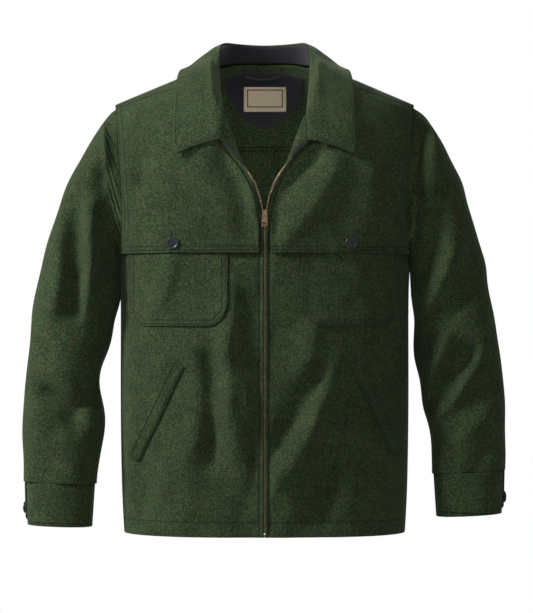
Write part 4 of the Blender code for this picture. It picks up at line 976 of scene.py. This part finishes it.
def sewn_button(node_name, middle, direction):
    """A turned button with a dished face, four holes through it and thread crossed between them."""
    bpy.ops.mesh.primitive_cylinder_add(vertices=48, radius=BUTTON_RADIUS, depth=BUTTON_THICK)
    disc = bpy.context.object
    disc.name = node_name + "_turned"
    bpy.ops.object.mode_set(mode="EDIT")
    bpy.ops.mesh.select_mode(type="FACE")
    bpy.ops.mesh.select_all(action="DESELECT")
    bpy.ops.object.mode_set(mode="OBJECT")
    for face in disc.data.polygons:
        face.select = face.normal.z > 0.9
    bpy.ops.object.mode_set(mode="EDIT")
    bpy.ops.mesh.inset(thickness=BUTTON_RADIUS * 0.24, depth=0)
    bpy.ops.mesh.inset(thickness=BUTTON_RADIUS * 0.12, depth=-BUTTON_THICK * 0.38)
    bpy.ops.object.mode_set(mode="OBJECT")
    soft = disc.modifiers.new("Rim", "BEVEL")
    soft.width = 0.0005
    soft.segments = 3
    bpy.ops.object.modifier_apply(modifier="Rim")
    for k in range(4):
        turn = math.pi / 4 + k * math.pi / 2
        spot = (HOLE_REACH * math.cos(turn), HOLE_REACH * math.sin(turn), 0)
        bpy.ops.mesh.primitive_cylinder_add(vertices=16, radius=HOLE_RADIUS, depth=0.01, location=spot)
        drill = bpy.context.object
        hole = disc.modifiers.new("Hole", "BOOLEAN")
        hole.operation = "DIFFERENCE"
        hole.object = drill
        bpy.context.view_layer.objects.active = disc
        bpy.ops.object.modifier_apply(modifier="Hole")
        bpy.data.objects.remove(drill, do_unlink=True)
    disc.data.shade_smooth()
    disc.data.set_sharp_from_angle(angle=math.radians(35))
    turn = Vector((0, 0, 1)).rotation_difference(Vector(direction).normalized())
    for vertex in disc.data.vertices:
        vertex.co = turn @ vertex.co + Vector(middle)
    dress(disc, node_name, horn)
    blocks = []
    for slant in (-1, 1):
        for level in (0.0006, 0.0010):
            side_run = Vector((1, slant, 0)).normalized()
            across_run = Vector((-side_run.y, side_run.x, 0))
            spot = turn @ (Vector((0, 0, level)) + across_run * 0.0003) + Vector(middle)
            sides = (turn @ side_run, turn @ across_run, turn @ Vector((0, 0, 1)))
            blocks.append((spot, (2 * HOLE_REACH, 0.0007, 0.0006), sides))
    sewing = block_mesh(node_name + "_thread", blocks)
    sewing.data.materials.append(thread)
    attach(sewing, "jacket")


for side, sign in (("left", -1), ("right", 1)):
    low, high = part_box("chest_button_" + side)
    middle = (Vector(low) + Vector(high)) / 2
    hit = front_surface(("front_cape_" + side,), middle.x, middle.z)
    facing_way = hit[1] if hit[1].y < 0 else -hit[1]
    sewn_button("chest_button_" + side, hit[0] + facing_way * (BUTTON_THICK / 2 + 0.0002), facing_way)
    low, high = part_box("cuff_button_" + side)
    middle = (Vector(low) + Vector(high)) / 2
    sewn_button("cuff_button_" + side, middle, (sign, CUFF_BUTTON_BACK, 0))

# The sewing. Tonal green thread in a topstitch of seven stitches to the inch runs beside the edges and seams:
# two rows at the capes' edges, pockets and armholes, one round the collar, hem, welts and yoke.
STITCH_PITCH = 0.0036
STITCH_LENGTH = 0.0029
STITCH_RADIUS = 0.00042
STITCH_RINGS = ((-0.5, 0.35, -0.6), (-0.32, 0.9, 0.0), (0.0, 1.0, 0.35), (0.32, 0.9, 0.0), (0.5, 0.35, -0.6))
STITCH_SIDES = 6
HOLE_EDGE = 0.0008


def smooth_line(points, closeness=0.002):
    """Points spaced evenly along a run of straight pieces."""
    points = np.asarray(points, float)
    lengths = np.concatenate([[0.0], np.cumsum(np.linalg.norm(np.diff(points, axis=0), axis=1))])
    count = max(2, int(lengths[-1] / closeness))
    places = np.linspace(0, lengths[-1], count)
    return np.stack([np.interp(places, lengths, points[:, k]) for k in range(points.shape[1])], axis=1)


def stitch_row(pieces, line, from_back=False):
    """Stitches on the pieces' surface along a line of x, z places, seen from the front or the back."""
    places = smooth_line(line, STITCH_PITCH)
    spots = []
    way = Vector((0, -1 if from_back else 1, 0))
    for x, z in places:
        start = Vector((x, RAY_START if from_back else -RAY_START, z))
        best = None
        for piece in pieces:
            hit, normal, _, _ = looks[piece].ray_cast(start, way)
            if hit is not None and (best is None or (hit - start).length < (best[0] - start).length):
                best = (hit, normal)
        spots.append(best)
    return spots


def thread_mesh(name, rows):
    """One mesh of all the stitches in some rows of surface spots."""
    points = []
    faces = []
    for spots in rows:
        for first, second in zip(spots, spots[1:]):
            if first is None or second is None:
                continue
            run = second[0] - first[0]
            if run.length > 3 * STITCH_PITCH or run.length < 1e-5:
                continue
            along_run = run.normalized()
            up = first[1] - along_run * first[1].dot(along_run)
            up.normalize()
            across_run = along_run.cross(up)
            middle = (first[0] + second[0]) / 2
            start = len(points)
            for share, girth, level in STITCH_RINGS:
                ring_middle = middle + along_run * share * STITCH_LENGTH + up * STITCH_RADIUS * level
                for k in range(STITCH_SIDES):
                    turn = 2 * math.pi * k / STITCH_SIDES
                    step = across_run * math.cos(turn) + up * math.sin(turn)
                    points.append(ring_middle + step * STITCH_RADIUS * girth)
            rings = len(STITCH_RINGS)
            for j in range(rings - 1):
                for k in range(STITCH_SIDES):
                    n = (k + 1) % STITCH_SIDES
                    a = start + j * STITCH_SIDES
                    b = a + STITCH_SIDES
                    faces.append((a + k, a + n, b + n, b + k))
            faces.append([start + k for k in range(STITCH_SIDES)][::-1])
            last = start + (rings - 1) * STITCH_SIDES
            faces.append([last + k for k in range(STITCH_SIDES)])
    mesh = bpy.data.meshes.new(name)
    mesh.from_pydata(points, [], faces)
    mesh.shade_smooth()
    made = bpy.data.objects.new(name, mesh)
    bpy.context.scene.collection.objects.link(made)
    made.data.materials.append(thread)
    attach(made, "jacket")
    return made


def beside(line, distance):
    """A line moved sideways in its own plane by a distance, its corners kept."""
    points = [Vector(point) for point in line]
    moved = []
    for k, point in enumerate(points):
        runs = [q - p for p, q in zip(points, points[1:])][max(0, k - 1):k + 1]
        run = sum((r.normalized() for r in runs), Vector((0, 0))).normalized()
        moved.append(tuple(point + Vector((-run.y, run.x)) * distance))
    return moved


def both_rows(pieces, line, from_back=False):
    """Two rows of stitches, one each side of a line."""
    return [stitch_row(pieces, beside(line, apart), from_back) for apart in (-DOUBLE, DOUBLE)]


for side in ("left", "right"):
    on_cape = ("front_cape_" + side,)
    rows = both_rows(on_cape, on_side(CAPE_LINE, side))
    rows.append(stitch_row(("front_cape_" + side, "front_" + side), on_side(PLACKET_LINE[1:], side)))
    hole_x, hole_z = BUTTONHOLE[side]
    hole = [(hole_x + across * HOLE_EDGE, hole_z + upward * HOLE_HALF)
            for across, upward in ((-1, -1), (-1, 1), (1, 1), (1, -1))]
    rows.append(stitch_row(on_cape, hole))
    thread_mesh("cape_stitching_" + side, rows)
    thread_mesh("pocket_stitching_" + side, both_rows(("chest_pocket_" + side,), pocket_line(side)))
    thread_mesh("welt_stitching_" + side, [stitch_row(("hand_pocket_welt_" + side,), welt_lines(side))])
    on_front = ("front_" + side,)
    below_cape = [(PLACKET_WIDTH, CAPE_EDGE_Z - 0.002), (PLACKET_WIDTH, PLACKET_FOOT_Z)]
    rows = [stitch_row(on_front, on_side(HEM_LINE, side)), stitch_row(on_front, on_side(below_cape, side))]
    thread_mesh("front_stitching_" + side, rows)
    rows = both_rows(("front_cape_" + side, "front_" + side, "back_yoke"), on_side(ARMHOLE_LINE, side))
    rows += both_rows(("back", "back_yoke"), on_side(ARMHOLE_LINE, side), True)
    thread_mesh("armhole_stitching_" + side, rows)
    thread_mesh("yoke_stitching_" + side, [stitch_row(("back_yoke",), on_side(YOKE_LINE, side))])
    thread_mesh("collar_stitching_" + side, [stitch_row(("collar",), on_side(COLLAR_LINE, side))])
rows = [stitch_row(("back",), [(-0.224, HEM_STITCH_Z), (0.224, HEM_STITCH_Z)], True)]
rows += both_rows(("back_yoke",), YOKE_FOOT_LINE, True)
thread_mesh("back_stitching", rows)

low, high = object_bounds()
